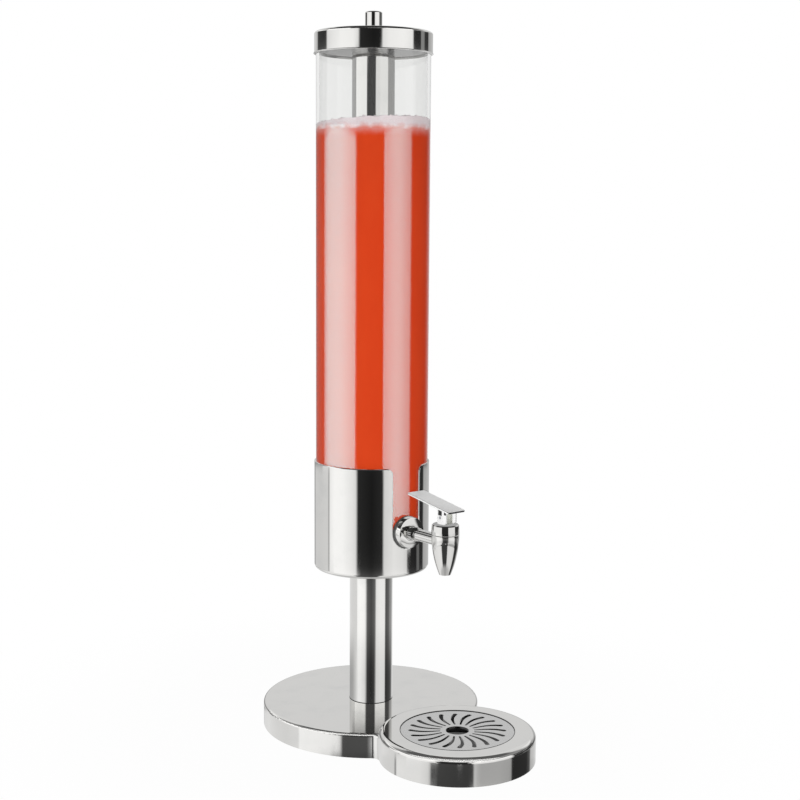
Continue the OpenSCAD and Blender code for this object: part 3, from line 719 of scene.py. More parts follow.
class Shapes:
    """Mesh makers that the sub-assemblies share."""

    @staticmethod
    def piece(name: str, mesh: bmesh.types.BMesh) -> bpy.types.Object:
        """Turns a bmesh into a smooth object with its sharp edges kept.

        Args:
            name: name of the piece.
            mesh: the built mesh, which is freed.

        Returns:
            The new object, linked into the scene.
        """
        bmesh.ops.recalc_face_normals(mesh, faces=mesh.faces)
        data = bpy.data.meshes.new(name)
        mesh.to_mesh(data)
        mesh.free()
        data.shade_smooth()
        data.set_sharp_from_angle(angle=math.radians(SHARP_DEG))
        made = bpy.data.objects.new(name, data)
        bpy.context.scene.collection.objects.link(made)
        return made

    @staticmethod
    def ring(
        mesh: bmesh.types.BMesh, centre: Vector, first: Vector, second: Vector, sides: int
    ) -> list[bmesh.types.BMVert]:
        """Adds a round ring of points about a centre, which starts at the first of two radii."""
        turns = arc(360, sides)[:-1]
        return [mesh.verts.new(centre + math.cos(a) * first + math.sin(a) * second) for a in turns]

    @staticmethod
    def skin(
        mesh: bmesh.types.BMesh, rings: Sequence[Sequence[bmesh.types.BMVert]], loop: bool
    ) -> None:
        """Covers rings of points with faces, from ring to ring.

        Args:
            mesh: the bmesh that holds the points.
            rings: rings of equally many points; a ring may be one point repeated.
            loop: whether the last ring joins the first; otherwise the end rings become faces.
        """
        for ring, after in zip(rings, [*rings[1:], rings[0]] if loop else rings[1:]):
            for i in range(len(ring)):
                corners = dict.fromkeys((ring[i - 1], ring[i], after[i], after[i - 1]))
                if len(corners) > 2:
                    mesh.faces.new(list(corners))
        if not loop:
            mesh.faces.new(rings[0])
            mesh.faces.new(rings[-1])

    @staticmethod
    def lathe(profile: Points, sides: int) -> bmesh.types.BMesh:
        """Turns a closed profile about Z.

        Args:
            profile: (radius, height) points in order; points on the axis have radius 0.
            sides: number of steps round the axis.

        Returns:
            A closed bmesh.
        """
        mesh = bmesh.new()
        rings = []
        for radius, height in profile:
            centre = Vector((0.0, 0.0, height))
            if radius == 0.0:
                rings.append([mesh.verts.new(centre)] * sides)
            else:
                radii = Vector((radius, 0.0, 0.0)), Vector((0.0, radius, 0.0))
                rings.append(Shapes.ring(mesh, centre, *radii, sides))
        Shapes.skin(mesh, rings, loop=True)
        return mesh

    @staticmethod
    def slab(
        mesh: bmesh.types.BMesh, outline: Points, level: Band, edge: float, place: Matrix
    ) -> None:
        """Adds a plate with rounded edges to a bmesh.

        Args:
            mesh: the bmesh that takes the plate.
            outline: the plate's corners in plan, counter-clockwise.
            level: heights of the underside and the top.
            edge: rounding of the edges.
            place: turn and shift of the finished plate.
        """
        low, high = level
        corners = [Vector(corner) for corner in outline]
        mitres = []
        for before, corner, after in zip(corners[-1:] + corners, corners, corners[1:] + corners[:1]):
            sides = [(corner - before).normalized(), (after - corner).normalized()]
            outward = [Vector((side.y, -side.x)) for side in sides]
            mitres.append((outward[0] + outward[1]) / (1.0 + outward[0].dot(outward[1])))
        turns = arc(90, EDGE_STEPS)
        steps = [(edge * (1 - math.sin(a)), low + edge * (1 - math.cos(a))) for a in turns]
        steps += [(edge * (1 - math.cos(a)), high - edge * (1 - math.sin(a))) for a in turns]
        rings = [
            [
                mesh.verts.new(place @ Vector((*(corner - mitre * inset), height)))
                for corner, mitre in zip(corners, mitres)
            ]
            for inset, height in steps
        ]
        Shapes.skin(mesh, rings, loop=False)

    @staticmethod
    def bead(path: Sequence[Vector], radius: float, sides: int) -> bmesh.types.BMesh:
        """Sweeps a round section along a closed path that runs round the Z axis.

        Args:
            path: points of the closed path.
            radius: radius of the section.
            sides: number of sides of the section.

        Returns:
            A closed bmesh.
        """
        mesh = bmesh.new()
        rings = []
        for before, point, after in zip(path[-1:] + path[:-1], path, path[1:] + path[:1]):
            along = (after - before).normalized()
            outward = Vector((point.x, point.y, 0.0))
            outward = (outward - along * outward.dot(along)).normalized()
            across = along.cross(outward)
            rings.append(Shapes.ring(mesh, point, radius * outward, radius * across, sides))
        Shapes.skin(mesh, rings, loop=True)
        return mesh


def settle(piece: bpy.types.Object, finish: Finish, body: Body, mirrored: bool = True) -> None:
    """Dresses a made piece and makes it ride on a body.

    Args:
        piece: the made piece.
        finish: the finish that it wears.
        body: the body that it moves with.
        mirrored: whether metal mirrors it.
    """
    finish.dress(piece)
    piece.visible_glossy = mirrored
    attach(piece, body.value)
    LOG.info("%s rides on %s", piece.name, body.value)


@dataclass(frozen=True)
class CadDress:
    """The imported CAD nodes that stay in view: what each wears, and which of them no metal mirrors."""

    finishes: Mapping[Finish, Sequence[str]]
    unmirrored: Sequence[str]

    def dress(self) -> None:
        """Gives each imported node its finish."""
        for finish, nodes in self.finishes.items():
            for node in nodes:
                finish.dress(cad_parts[node])
                LOG.info("%s wears %s", node, finish.label)
        for node in self.unmirrored:
            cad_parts[node].visible_glossy = False


@dataclass
class ClearTube:
    """The container's clear wall, turned in two lengths that meet at the froth."""

    wall: float = 3 * MM
    joint_z: float = 612 * MM
    joint_gap: float = 0.03 * MM
    edge: float = 0.4 * MM
    sides: int = 192

    def build(self) -> None:
        """Makes both lengths in the place of the CAD node."""
        low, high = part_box("container_tube")
        outer, inner = high.x, high.x - self.wall
        lower = [(inner, low.z), (outer, low.z), (outer, self.joint_z), (inner, self.joint_z)]
        foot, crest = self.joint_z + self.joint_gap, high.z - self.edge
        upper = [(inner, foot), (outer, foot), (outer, crest), (outer - self.edge, high.z)]
        upper += [(inner + self.edge, high.z), (inner, crest)]
        for name, profile in (("tube_wall", lower), ("tube_head", upper)):
            piece = Shapes.piece(name, Shapes.lathe(profile, self.sides))
            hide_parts("container_tube")
            settle(piece, CLEAR, Body.CONTAINER, mirrored=False)


@dataclass
class Drink:
    """The juice in the container and the froth on it."""

    wetting: float = 0.1 * MM
    ice_gap: float = 0.4 * MM
    froth_rise: float = 8.2 * MM
    froth_tilt: float = 3.8 * MM
    froth_high_deg: float = 275.0
    froth_rings: int = 16
    lump: float = 1.2 * MM
    lump_scale: float = 90.0
    lump_falloff: float = 1.0
    lump_finer: float = 2.0
    lump_octaves: int = 3
    bubble_count: int = 260
    bubble_r: Band = (0.5 * MM, 1.5 * MM)
    bubble_spread: float = 12 * MM
    bubble_rise: Band = (-0.5, 0.3)
    sides: int = 192
    seed: int = 7
    skin: float = field(init=False)
    hole: float = field(init=False)
    level: float = field(init=False)

    def build(self) -> None:
        """Makes the juice and the froth in the container."""
        _, floor_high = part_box("container_floor")
        juice_low, juice_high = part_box("juice")
        ice_low, ice_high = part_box("ice_tube")
        self.skin = floor_high.x + self.wetting
        self.hole = ice_high.x + self.ice_gap
        self.level = juice_high.z
        self._juice(juice_low.z, ice_low.z - self.ice_gap)
        self._froth()

    def _juice(self, low: float, hole_low: float) -> None:
        """Makes the juice as one turned solid that wets the wall.

        Args:
            low: height of the container's floor.
            hole_low: height at which the ice tube's hole starts.
        """
        outside = [(0.0, low), (self.skin, low), (self.skin, self.level)]
        inside = [(self.hole, self.level), (self.hole, hole_low), (0.0, hole_low)]
        piece = Shapes.piece("juice_fill", Shapes.lathe(outside + inside, self.sides))
        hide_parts("juice")
        settle(piece, JUICE, Body.CONTAINER, mirrored=False)

    def _froth_top(self, x: float, y: float) -> float:
        """Height of the froth above the juice's level.

        Args:
            x: place across the container.
            y: place along the container's depth.

        Returns:
            The height.
        """
        turn = math.atan2(y, x) - math.radians(self.froth_high_deg)
        tilt = math.cos(turn) * math.hypot(x, y) / self.skin
        spot = Vector((x, y, 0.0)) * self.lump_scale
        lumps = noise.fractal(spot, self.lump_falloff, self.lump_finer, self.lump_octaves)
        return self.froth_rise + self.froth_tilt * tilt + self.lump * lumps

    def _froth(self) -> None:
        """Makes the froth as an uneven ring with bubbles along its upper edge."""
        step = (self.skin - self.hole) / self.froth_rings
        crest = self.level + self.froth_rise
        top = [(self.hole + step * i, crest) for i in reversed(range(self.froth_rings + 1))]
        profile = [(self.skin, self.level), *top, (self.hole, self.level)]
        mesh = Shapes.lathe(profile, self.sides)
        for vert in mesh.verts:
            if vert.co.z > self.level:
                vert.co.z = self.level + self._froth_top(vert.co.x, vert.co.y)
        draw = random.Random(self.seed)
        for _ in range(self.bubble_count):
            size = draw.uniform(*self.bubble_r)
            turn = draw.uniform(0.0, math.tau)
            out = self.skin - size - draw.random() ** 2 * self.bubble_spread
            x, y = out * math.cos(turn), out * math.sin(turn)
            z = self.level + self._froth_top(x, y) + size * draw.uniform(*self.bubble_rise)
            bmesh.ops.create_icosphere(
                mesh, subdivisions=2, radius=size, matrix=Matrix.Translation((x, y, z))
            )
        settle(Shapes.piece("froth", mesh), FROTH, Body.CONTAINER)


@dataclass
class TapLever:
    """The tap's lever: a folded plate with two ears, all with rounded edges."""

    pin: Triple = (0.0, -116.5 * MM, 236.5 * MM)
    slope_deg: float = 9.2
    drop: float = 8.7 * MM
    thick: float = 1.8 * MM
    inner_l: float = 48 * MM
    outer_l: float = 15.5 * MM
    width: float = 22 * MM
    corner: float = 2.5 * MM
    corner_steps: int = 6
    edge: float = 0.5 * MM
    ear_x: float = 5.2 * MM
    ear_t: float = 1.6 * MM
    ear_edge: float = 0.4 * MM
    ear_in: float = 4.5 * MM
    cam_base: float = 6.7 * MM
    cam_rate: float = 3.183 * MM
    turn_deg: float = 45.0
    cam_steps: int = 9
    # Thin dark patches of painted shade on the ears, close under the plate: inner and outer reach from
    # the pin, and height.
    patch_proud: float = 0.06 * MM
    patch_edge: float = 0.048 * MM
    shade_patches: tuple[Triple, ...] = (
        (2.9 * MM, -2.3 * MM, 6.4 * MM),
        (-5.6 * MM, -8.3 * MM, 4.2 * MM),
    )

    def build(self) -> None:
        """Makes the lever in the place of its CAD node."""
        mesh = bmesh.new()
        at_pin = Matrix.Translation(self.pin)
        sloped = at_pin @ Matrix.Rotation(math.radians(self.slope_deg), 4, "X")
        Shapes.slab(mesh, self._plan(), (self.drop, self.drop + self.thick), self.edge, sloped)
        upright = at_pin @ Matrix(((0, 0, 1, 0), (1, 0, 0, 0), (0, 1, 0, 0), (0, 0, 0, 1)))
        for start in (-self.ear_x - self.ear_t, self.ear_x):
            Shapes.slab(mesh, self._ear(), (start, start + self.ear_t), self.ear_edge, upright)
        piece = Shapes.piece("lever_plate", mesh)
        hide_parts("tap_lever")
        settle(piece, LEVER_SATIN, Body.LEVER, mirrored=False)
        self._shade_patches(upright)

    def _shade_patches(self, upright: Matrix) -> None:
        """Makes the dark patches of painted shade on the ears' faces, close under the plate.

        Args:
            upright: place of an ear's side view.
        """
        mesh = bmesh.new()
        for face in (-self.ear_x - self.ear_t, self.ear_x + self.ear_t):
            for inner, outer, height in self.shade_patches:
                top = min(self._under(inner), self._under(outer)) - self.thick / 2
                low = top - height
                corners = [(outer, low), (inner, low), (inner, top), (outer, top)]
                level = (face - self.patch_proud, face + self.patch_proud)
                Shapes.slab(mesh, corners, level, self.patch_edge, upright)
        settle(Shapes.piece("lever_shade_patches", mesh), PAINTED_SHADE_SATIN, Body.LEVER, mirrored=False)

    def _plan(self) -> list[tuple[float, float]]:
        """Plan of the plate from the pin, with Y towards the container.

        Returns:
            (x, y) points.
        """
        x, c = self.width / 2 - self.corner, self.corner
        far, near = self.inner_l - c, c - self.outer_l
        middles = ((x, far), (-x, far), (-x, near), (x, near))
        return [
            (mx + c * math.cos(start + a), my + c * math.sin(start + a))
            for (mx, my), start in zip(middles, arc(360, 4))
            for a in arc(90, self.corner_steps)
        ]

    def _under(self, y: float) -> float:
        """Height of the plate's middle above the pin at a distance towards the container."""
        slope = math.radians(self.slope_deg)
        return (self.drop + y * math.sin(slope)) / math.cos(slope) + self.thick / 2

    def _cam(self, turn: float) -> tuple[float, float]:
        """Point of the cam at a turn in radians: it sinks in step with the turn.

        Args:
            turn: the lever's turn.

        Returns:
            The point in an ear's side view.
        """
        reach, sine, cosine = self.cam_base + self.cam_rate * turn, math.sin(turn), math.cos(turn)
        return (-reach * sine - self.cam_rate * cosine, -reach * cosine + self.cam_rate * sine)

    def _ear(self) -> list[tuple[float, float]]:
        """Side view of an ear from the pin, with its first axis towards the container.

        Returns:
            The corners in order.
        """
        cam = [self._cam(turn) for turn in arc(self.turn_deg, self.cam_steps)]
        tail = cam[-1][0]
        above = [(self.ear_in, self._under(self.ear_in)), (tail, self._under(tail))]
        return [(self.ear_in, -self.cam_base), *above, *reversed(cam)]


@dataclass
class TapCollar:
    """The tap's collar, a turned ring with a crisp edge and a dished face, and the pad behind it."""

    edge: float = 0.5 * MM
    edge_inset: float = 0.15 * MM
    dish: float = 0.15 * MM
    bore: float = 6.3 * MM
    sides: int = 128
    pad_r: float = 18.5 * MM
    pad_above: float = 1 * MM
    pad_faces: Band = (0.03 * MM, 0.15 * MM)
    pad_steps: int = 32

    def build(self) -> None:
        """Makes the collar in the place of its CAD node, and the pad."""
        low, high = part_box("tap_collar")
        axis_z = (low.z + high.z) / 2
        radius, thick = (high.x - low.x) / 2, high.y - low.y
        face = thick - self.dish
        outside = [(self.bore, 0.0), (radius, 0.0), (radius, thick - self.edge)]
        crest = [(radius - self.edge_inset, thick - self.edge_inset), (radius - self.edge, thick)]
        inside = [(self.bore + self.edge, face), (self.bore, face - self.edge)]
        mesh = Shapes.lathe(outside + crest + inside, self.sides)
        outward = Matrix.Rotation(math.pi / 2, 4, "X")
        place = Matrix.Translation((0.0, high.y, axis_z)) @ outward
        bmesh.ops.transform(mesh, matrix=place, verts=mesh.verts)
        piece = Shapes.piece("collar_ring", mesh)
        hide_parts("tap_collar")
        settle(piece, CHROME, Body.CONTAINER)
        self._pad(axis_z)

    def _pad(self, axis_z: float) -> None:
        """Makes the pad that lies on the tube below the tap, behind the U slot.

        Args:
            axis_z: height of the tap's axis.
        """
        _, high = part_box("container_tube")
        top = axis_z + self.pad_above
        mesh = bmesh.new()
        columns = []
        for turn in arc(180, self.pad_steps):
            x = -self.pad_r * math.cos(turn)
            foot = axis_z - self.pad_r * math.sin(turn)
            back, front = (-math.sqrt((high.x + out) ** 2 - x**2) for out in self.pad_faces)
            corners = ((front, foot), (front, top), (back, top), (back, foot))
            columns.append([mesh.verts.new((x, y, z)) for y, z in corners])
        Shapes.skin(mesh, columns, loop=False)
        settle(Shapes.piece("gasket_pad", mesh), GREY_RUBBER, Body.CONTAINER, mirrored=False)


@dataclass
class ValveSpring:
    """The spring that shuts the valve; the real one shortens as the plunger rises, and this one keeps
    its length.
    """

    wire_r: float = 0.5 * MM
    turns: int = 6
    steps: int = 36
    sides: int = 12
    keep: float = 0.875

    def build(self) -> None:
        """Makes the spring in the place of its CAD node."""
        low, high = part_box("plunger_spring")
        middle = (low + high) / 2
        coil_r = (high.x - low.x) / 2 - self.wire_r
        coil = arc(360 * self.turns, self.turns * self.steps)
        rise = (high.z - low.z - 2 * self.wire_r) / coil[-1]
        upward = Vector((0.0, 0.0, self.wire_r))
        mesh = bmesh.new()
        rings = []
        for turn in coil:
            outward = Vector((math.cos(turn), math.sin(turn), 0.0))
            axis = Vector((middle.x, middle.y, low.z + self.wire_r + rise * turn))
            centre = axis + outward * coil_r
            rings.append(Shapes.ring(mesh, centre, outward * self.wire_r, upward, self.sides))
        Shapes.skin(mesh, rings, loop=False)
        piece = Shapes.piece("valve_spring", mesh)
        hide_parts("plunger_spring")
        settle(piece, ZINC, Body.CONTAINER, mirrored=False)
        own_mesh(piece)


@dataclass
class CupRim:
    """The rounded edge that runs along the cup's rim and round its U slot."""

    bead_r: float = 0.72 * MM
    wall: float = 1.4 * MM
    slot_r: float = 17.2 * MM
    slot_z: float = 210.9 * MM
    corner: float = 6 * MM
    rim_steps: int = 240
    corner_steps: int = 8
    base_steps: int = 32
    side_steps: int = 12
    sides: int = 10

    def build(self) -> None:
        """Makes the edge from the cup's own box."""
        _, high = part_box("cup_holder")
        middle = high.x - self.wall / 2
        edge = self._slot_edge(high.z)
        path = [Vector((x, -math.sqrt(middle**2 - x**2), z)) for x, z in edge]
        half_gap = math.asin((self.slot_r + self.corner) / middle)
        for i in range(1, self.rim_steps):
            turn = half_gap - math.pi / 2 + (math.tau - 2 * half_gap) * i / self.rim_steps
            path.append(Vector((middle * math.cos(turn), middle * math.sin(turn), high.z)))
        piece = Shapes.piece("cup_rim", Shapes.bead(path, self.bead_r, self.sides))
        settle(piece, POLISHED, Body.STAND)

    def _slot_edge(self, rim: float) -> list[tuple[float, float]]:
        """Edge of the U slot seen from the front, from its left corner to its right one.

        Args:
            rim: height of the cup's rim.

        Returns:
            (x, height) points.
        """
        c, r, z = self.corner, self.slot_r, rim - self.corner
        bend = arc(90, self.corner_steps)
        left = [(-r - c + c * math.sin(a), z + c * math.cos(a)) for a in bend]
        steps = range(1, self.side_steps)
        sides = [self.slot_z + (z - self.slot_z) * i / self.side_steps for i in steps]
        half = arc(180, self.base_steps)
        base = [(-r * math.cos(a), self.slot_z - r * math.sin(a)) for a in half]
        down, up = [(-r, level) for level in reversed(sides)], [(r, level) for level in sides]
        right = [(-x, level) for x, level in reversed(left)]
        return [*left, *down, *base, *up, *right]


@dataclass
class GrilleShadeRing:
    """The dark ring of painted shade that fills the gap round the grille."""

    gap: float = 0.55 * MM
    play: float = 0.04 * MM
    proud: float = 1.0 * MM
    crown: float = 0.12 * MM
    sides: int = 160

    def build(self) -> None:
        """Makes the ring of painted shade round the grille's edge."""
        low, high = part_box("drip_grille")
        middle = (low + high) / 2
        inner = (high.x - low.x) / 2 + self.play
        outer = inner + self.gap - 2 * self.play
        foot, top = high.z - self.gap, high.z + self.proud
        profile = [(inner, foot), (outer, foot), (outer, top - self.crown)]
        profile += [(outer - self.crown, top), (inner + self.crown, top), (inner, top - self.crown)]
        mesh = Shapes.lathe(profile, self.sides)
        bmesh.ops.translate(mesh, verts=mesh.verts, vec=(middle.x, middle.y, 0.0))
        # The black ring stands for the shade in the gap.
        settle(Shapes.piece("grille_shade_ring", mesh), BLACK_RUBBER, Body.GRILLE, mirrored=False)


@dataclass
class ColumnJoint:
    """The thin dark gap that shows where the column stands on the foot."""

    proud: float = 0.15 * MM
    height: float = 0.5 * MM
    depth: float = 0.6 * MM
    sides: int = 96

    def build(self) -> None:
        """Makes the gap as a thin ring at the column's foot."""
        low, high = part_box("column_tube")
        out, inside = high.x + self.proud, high.x - self.depth
        top = low.z + self.height
        profile = [(inside, low.z), (out, low.z), (out, top - self.proud), (high.x, top)]
        mesh = Shapes.lathe([*profile, (inside, top)], self.sides)
        settle(Shapes.piece("column_joint", mesh), BLACK_RUBBER, Body.STAND)


@dataclass(frozen=True)
class Viewpoint:
    """The photograph's camera, from a fit to the object's edges."""

    location: Triple = (-0.9166, -1.1801, 0.5343)
    heading_deg: float = 51.073
    pitch_deg: float = 7.477
    roll_deg: float = -0.382
    lens_mm: float = 66.56
    sensor_mm: float = 36.0
    clip: Band = (0.05, 60.0)

    def build(self) -> None:
        """Makes the scene's camera."""
        heading, pitch, roll = map(math.radians, (self.heading_deg, self.pitch_deg, self.roll_deg))
        flat = math.cos(pitch)
        ahead = Vector((flat * math.cos(heading), flat * math.sin(heading), -math.sin(pitch)))
        level = Vector((math.sin(heading), -math.cos(heading), 0.0))
        down = ahead.cross(level)
        right = math.cos(roll) * level + math.sin(roll) * down
        up = math.sin(roll) * level - math.cos(roll) * down
        turn = Matrix((right, up, -ahead)).transposed().to_4x4()
        data = bpy.data.cameras.new("photo_camera")
        data.lens = self.lens_mm
        data.sensor_width = self.sensor_mm
        data.clip_start, data.clip_end = self.clip
        camera = bpy.data.objects.new("photo_camera", data)
        camera.matrix_world = Matrix.Translation(self.location) @ turn
        bpy.context.scene.collection.objects.link(camera)
        bpy.context.scene.camera = camera
        LOG.info("camera at %s", self.location)


@dataclass(frozen=True)
class Tier:
    """One level of the studio's wall, up to a height angle, with a soft upper edge.

    A stop is a turn to the right of the camera, seen from the object, and the light there.
    """

    top_deg: float
    soft_deg: float
    stops: Stops


@dataclass(frozen=True)
class Panel:
    """A soft panel that serves only the pieces it names.

    It stands at a turn to the right of the camera and faces the object's axis, or the floor
    where it is tilted by 90 degrees. Its light follows stops across it and up it. A panel that
    is not mirrored only lights matt surfaces.
    """

    name: str
    turn_deg: float
    reach: float
    height: float
    width: float
    depth: float
    radiance: float
    receivers: tuple[str, ...]
    tint: Colour = WHITE
    across: Stops = ((0.0, 1.0), (1.0, 1.0))
    upward: Stops = ((0.0, 1.0), (1.0, 1.0))
    tilt_deg: float = 0.0
    mirrored: bool = True

    def build(self, front_deg: float) -> None:
        """Makes the panel.

        Args:
            front_deg: azimuth of the camera, from which the turn is counted.
        """
        data = bpy.data.lights.new(self.name, "AREA")
        data.shape = "RECTANGLE"
        data.size, data.size_y = self.width, self.depth
        data.energy = self.radiance * math.pi * self.width * self.depth
        data.color = self.tint
        data.use_nodes = True
        graph = Graph(data.node_tree)
        spot = graph.node("ShaderNodeNewGeometry", output="Parametric")
        across = graph.ramp(self.across, graph.axis(spot, "X"))
        upward = graph.ramp(self.upward, graph.axis(spot, "Y"))
        shader = graph.node("ShaderNodeEmission", {}, {"Color": across, "Strength": upward})
        graph.surface(shader, "ShaderNodeOutputLight")
        lamp = bpy.data.objects.new(self.name, data)
        azimuth = math.radians(front_deg + self.turn_deg)
        away = Vector((math.cos(azimuth), math.sin(azimuth), 0.0))
        lamp.matrix_world = (
            Matrix.Translation(away * self.reach + Vector((0.0, 0.0, self.height)))
            @ away.to_track_quat("Z", "Y").to_matrix().to_4x4()
            @ Matrix.Rotation(math.radians(-self.tilt_deg), 4, "X")
        )
        lamp.visible_camera = False
        lamp.visible_transmission = False
        lamp.visible_glossy = self.mirrored
        lamp.visible_diffuse = not self.mirrored
        bpy.context.scene.collection.objects.link(lamp)
        served = bpy.data.collections.new(f"{self.name}_receivers")
        for name in self.receivers:
            served.objects.link(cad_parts.get(name) or bpy.data.objects[name])
        lamp.light_linking.receiver_collection = served
        lamp.light_linking.blocker_collection = served
        LOG.info("%s serves %s", self.name, ", ".join(self.receivers))


PEAK = 1.8
FOOT_LEFT: Stops = (
    (-180, 0.4), (-160, 0.85), (-140, 1.0), (-100, 0.95), (-83, 1.02), (-81, 1.34), (-60, 1.28),
    (-36, 1.22), (-32.5, 1.0), (-29.5, 0.1),
)
FOOT_BACK: Stops = ((118, 0.04), (128, 0.15), (132, 0.7), (180, 0.85))
CUP_LEFT: Stops = (
    (-180, 0.45), (-157, 0.5), (-150, 0.8), (-98.5, 0.93), (-96.5, 0.55), (-94.5, 0.55),
    (-92, 1.25), (-80, 1.4), (-60, 1.38), (-40, 1.18), (-32, 1.05), (-27.5, 0.03), (0, 0.015),
    (21.5, 0.03), (25, 0.95), (45, 1.13), (65, 1.05),
)
CUP_BACK: Stops = (
    (102, 0.02), (105, 0.18), (111, 0.18), (113.5, 0.03), (125, 0.04), (129, 0.55), (165, 0.62),
    (180, 0.5),
)
# The wall's tiers from the floor up, by what the steel mirrors in the photograph.
TIERS = (
    Tier(-46, 8, ((-180, 0.8), (-40, 0.7), (0, 0.5), (40, 0.7), (180, 0.8))),
    Tier(-22.45, 0.3, (
        (-180, 0.8), (-128, 0.85), (-121, 1.1), (-60, 1.2), (-38, 1.15), (-31, 0.06), (13, 0.06),
        (19, 1.05), (50, 1.1), (82, 1.0), (88, 0.05), (118, 0.05), (132, 0.5), (180, 0.85),
    )),
    Tier(-20.98, 0.1, (
        (-180, 0.8), (-150, 0.9), (-108, 0.92), (-105.5, 0.4), (-103.5, 0.4), (-102, 1.12),
        (-60, 1.08), (-46, 0.93), (-43, 0.7), (-40.5, 0.08), (0, 0.06), (19.5, 0.06), (22, 0.74),
        (27, 0.6), (32, 0.53), (60, 0.54), (78, 0.49), (81.5, 0.43), (84, 0.03), (118, 0.035),
        (128, 0.12), (132, 0.6), (180, 0.85),
    )),
    Tier(-20.2, 0.1, (
        *FOOT_LEFT, (-3.8, 0.11), (-1.3, 0.88), (3, 0.88), (5.5, 0.1), (17, 0.1), (22, 0.8),
        (32, 0.55), (80, 0.55), (84, 0.03), *FOOT_BACK,
    )),
    Tier(-19.25, 0.1, (
        *FOOT_LEFT, (17, 0.1), (22, 0.95), (50, 0.87), (84, 0.75), (86, 0.03), *FOOT_BACK,
    )),
    Tier(-17, 2.2, (
        (-180, 0.6), (-150, 0.45), (-114, 0.56), (-92, 0.85), (-82, 1.05), (-72, 1.25),
        (-60, 1.24), (-40, 1.06), (-33, 0.95), (-26, 0.45), (-22, 0.06), (0, 0.03), (16, 0.06),
        (22, 0.3), (28, 0.95), (50, 1.03), (74, 1.0), (79, 0.8), (83, 0.04), (118, 0.08),
        (130, 0.15), (145, 0.45), (152, 0.85), (180, 0.9),
    )),
    Tier(-14.2, 0.15, (
        (-180, 0.75), (-150, 0.98), (-83, 0.97), (-79, 1.4), (-60, 1.44), (-40, 1.4), (-32, 1.3),
        (-26, 0.6), (-21, 0.16), (0, 0.1), (17, 0.17), (22, 0.35), (27, 1.16), (50, 1.26),
        (75, 1.25), (79, 1.0), (83, 0.12), (108, 0.18), (120, 0.4), (140, 0.45), (147, 0.95),
        (180, 1.0),
    )),
    Tier(-13.25, 0.15, (*CUP_LEFT, (74.8, 0.9), (77.8, 0.03), *CUP_BACK)),
    Tier(-10, 0.3, (*CUP_LEFT, (84, 0.9), (86, 0.03), *CUP_BACK)),
    Tier(2.9, 0.3, (
        (-180, 0.5), (-150, 0.28), (-118, 0.25), (-113, 1.25), (-60, 1.3), (-34, 1.2),
        (-31, 0.03), (20, 0.03), (24, 1.15), (80, 1.15), (84, 0.04), (133, 0.04), (146, 0.3),
        (155, 0.6), (180, 0.8),
    )),
    Tier(5.7, 0.15, (
        (-180, 0.5), (-107, 0.5), (-104, 1.5), (-36, 1.4), (-33, 0.045), (11.5, 0.045),
        (14.5, 1.2), (84, 1.2), (88, 0.42), (180, 0.4),
    )),
    Tier(12, 1.5, (
        (-180, 0.75), (-150, 0.8), (-139, 0.6), (-135.5, 0.06), (-115, 0.04), (-103.4, 0.06),
        (-100.4, 1.03), (-90, 1.15), (-65, 1.32), (-40, 1.28), (-30, 1.12), (-26, 0.03),
        (0, 0.015), (14.8, 0.02), (18.3, 1.1), (30, 1.25), (60, 1.31), (78, 1.22), (81, 1.15),
        (84, 0.03), (103, 0.03), (105.5, 0.33), (115, 0.3), (117, 0.05), (131, 0.04), (134, 0.5),
        (150, 0.62), (180, 0.6),
    )),
    Tier(20, 2, (
        (-180, 0.87), (-150, 0.87), (-104, 1.3), (-102, 0.7), (-98, 1.75), (-34, 1.7),
        (-25, 0.12), (19, 0.12), (25, 1.6), (79, 1.6), (84, 0.12), (112, 0.15), (120, 0.45),
        (140, 0.6), (150, 0.87), (180, 0.87),
    )),
    Tier(50, 8, (
        (-180, 0.87), (-130, 0.87), (-110, 0.05), (110, 0.05), (130, 0.87), (180, 0.87),
    )),
    Tier(90, 1, ((-180, 0.05), (180, 0.05))),
)
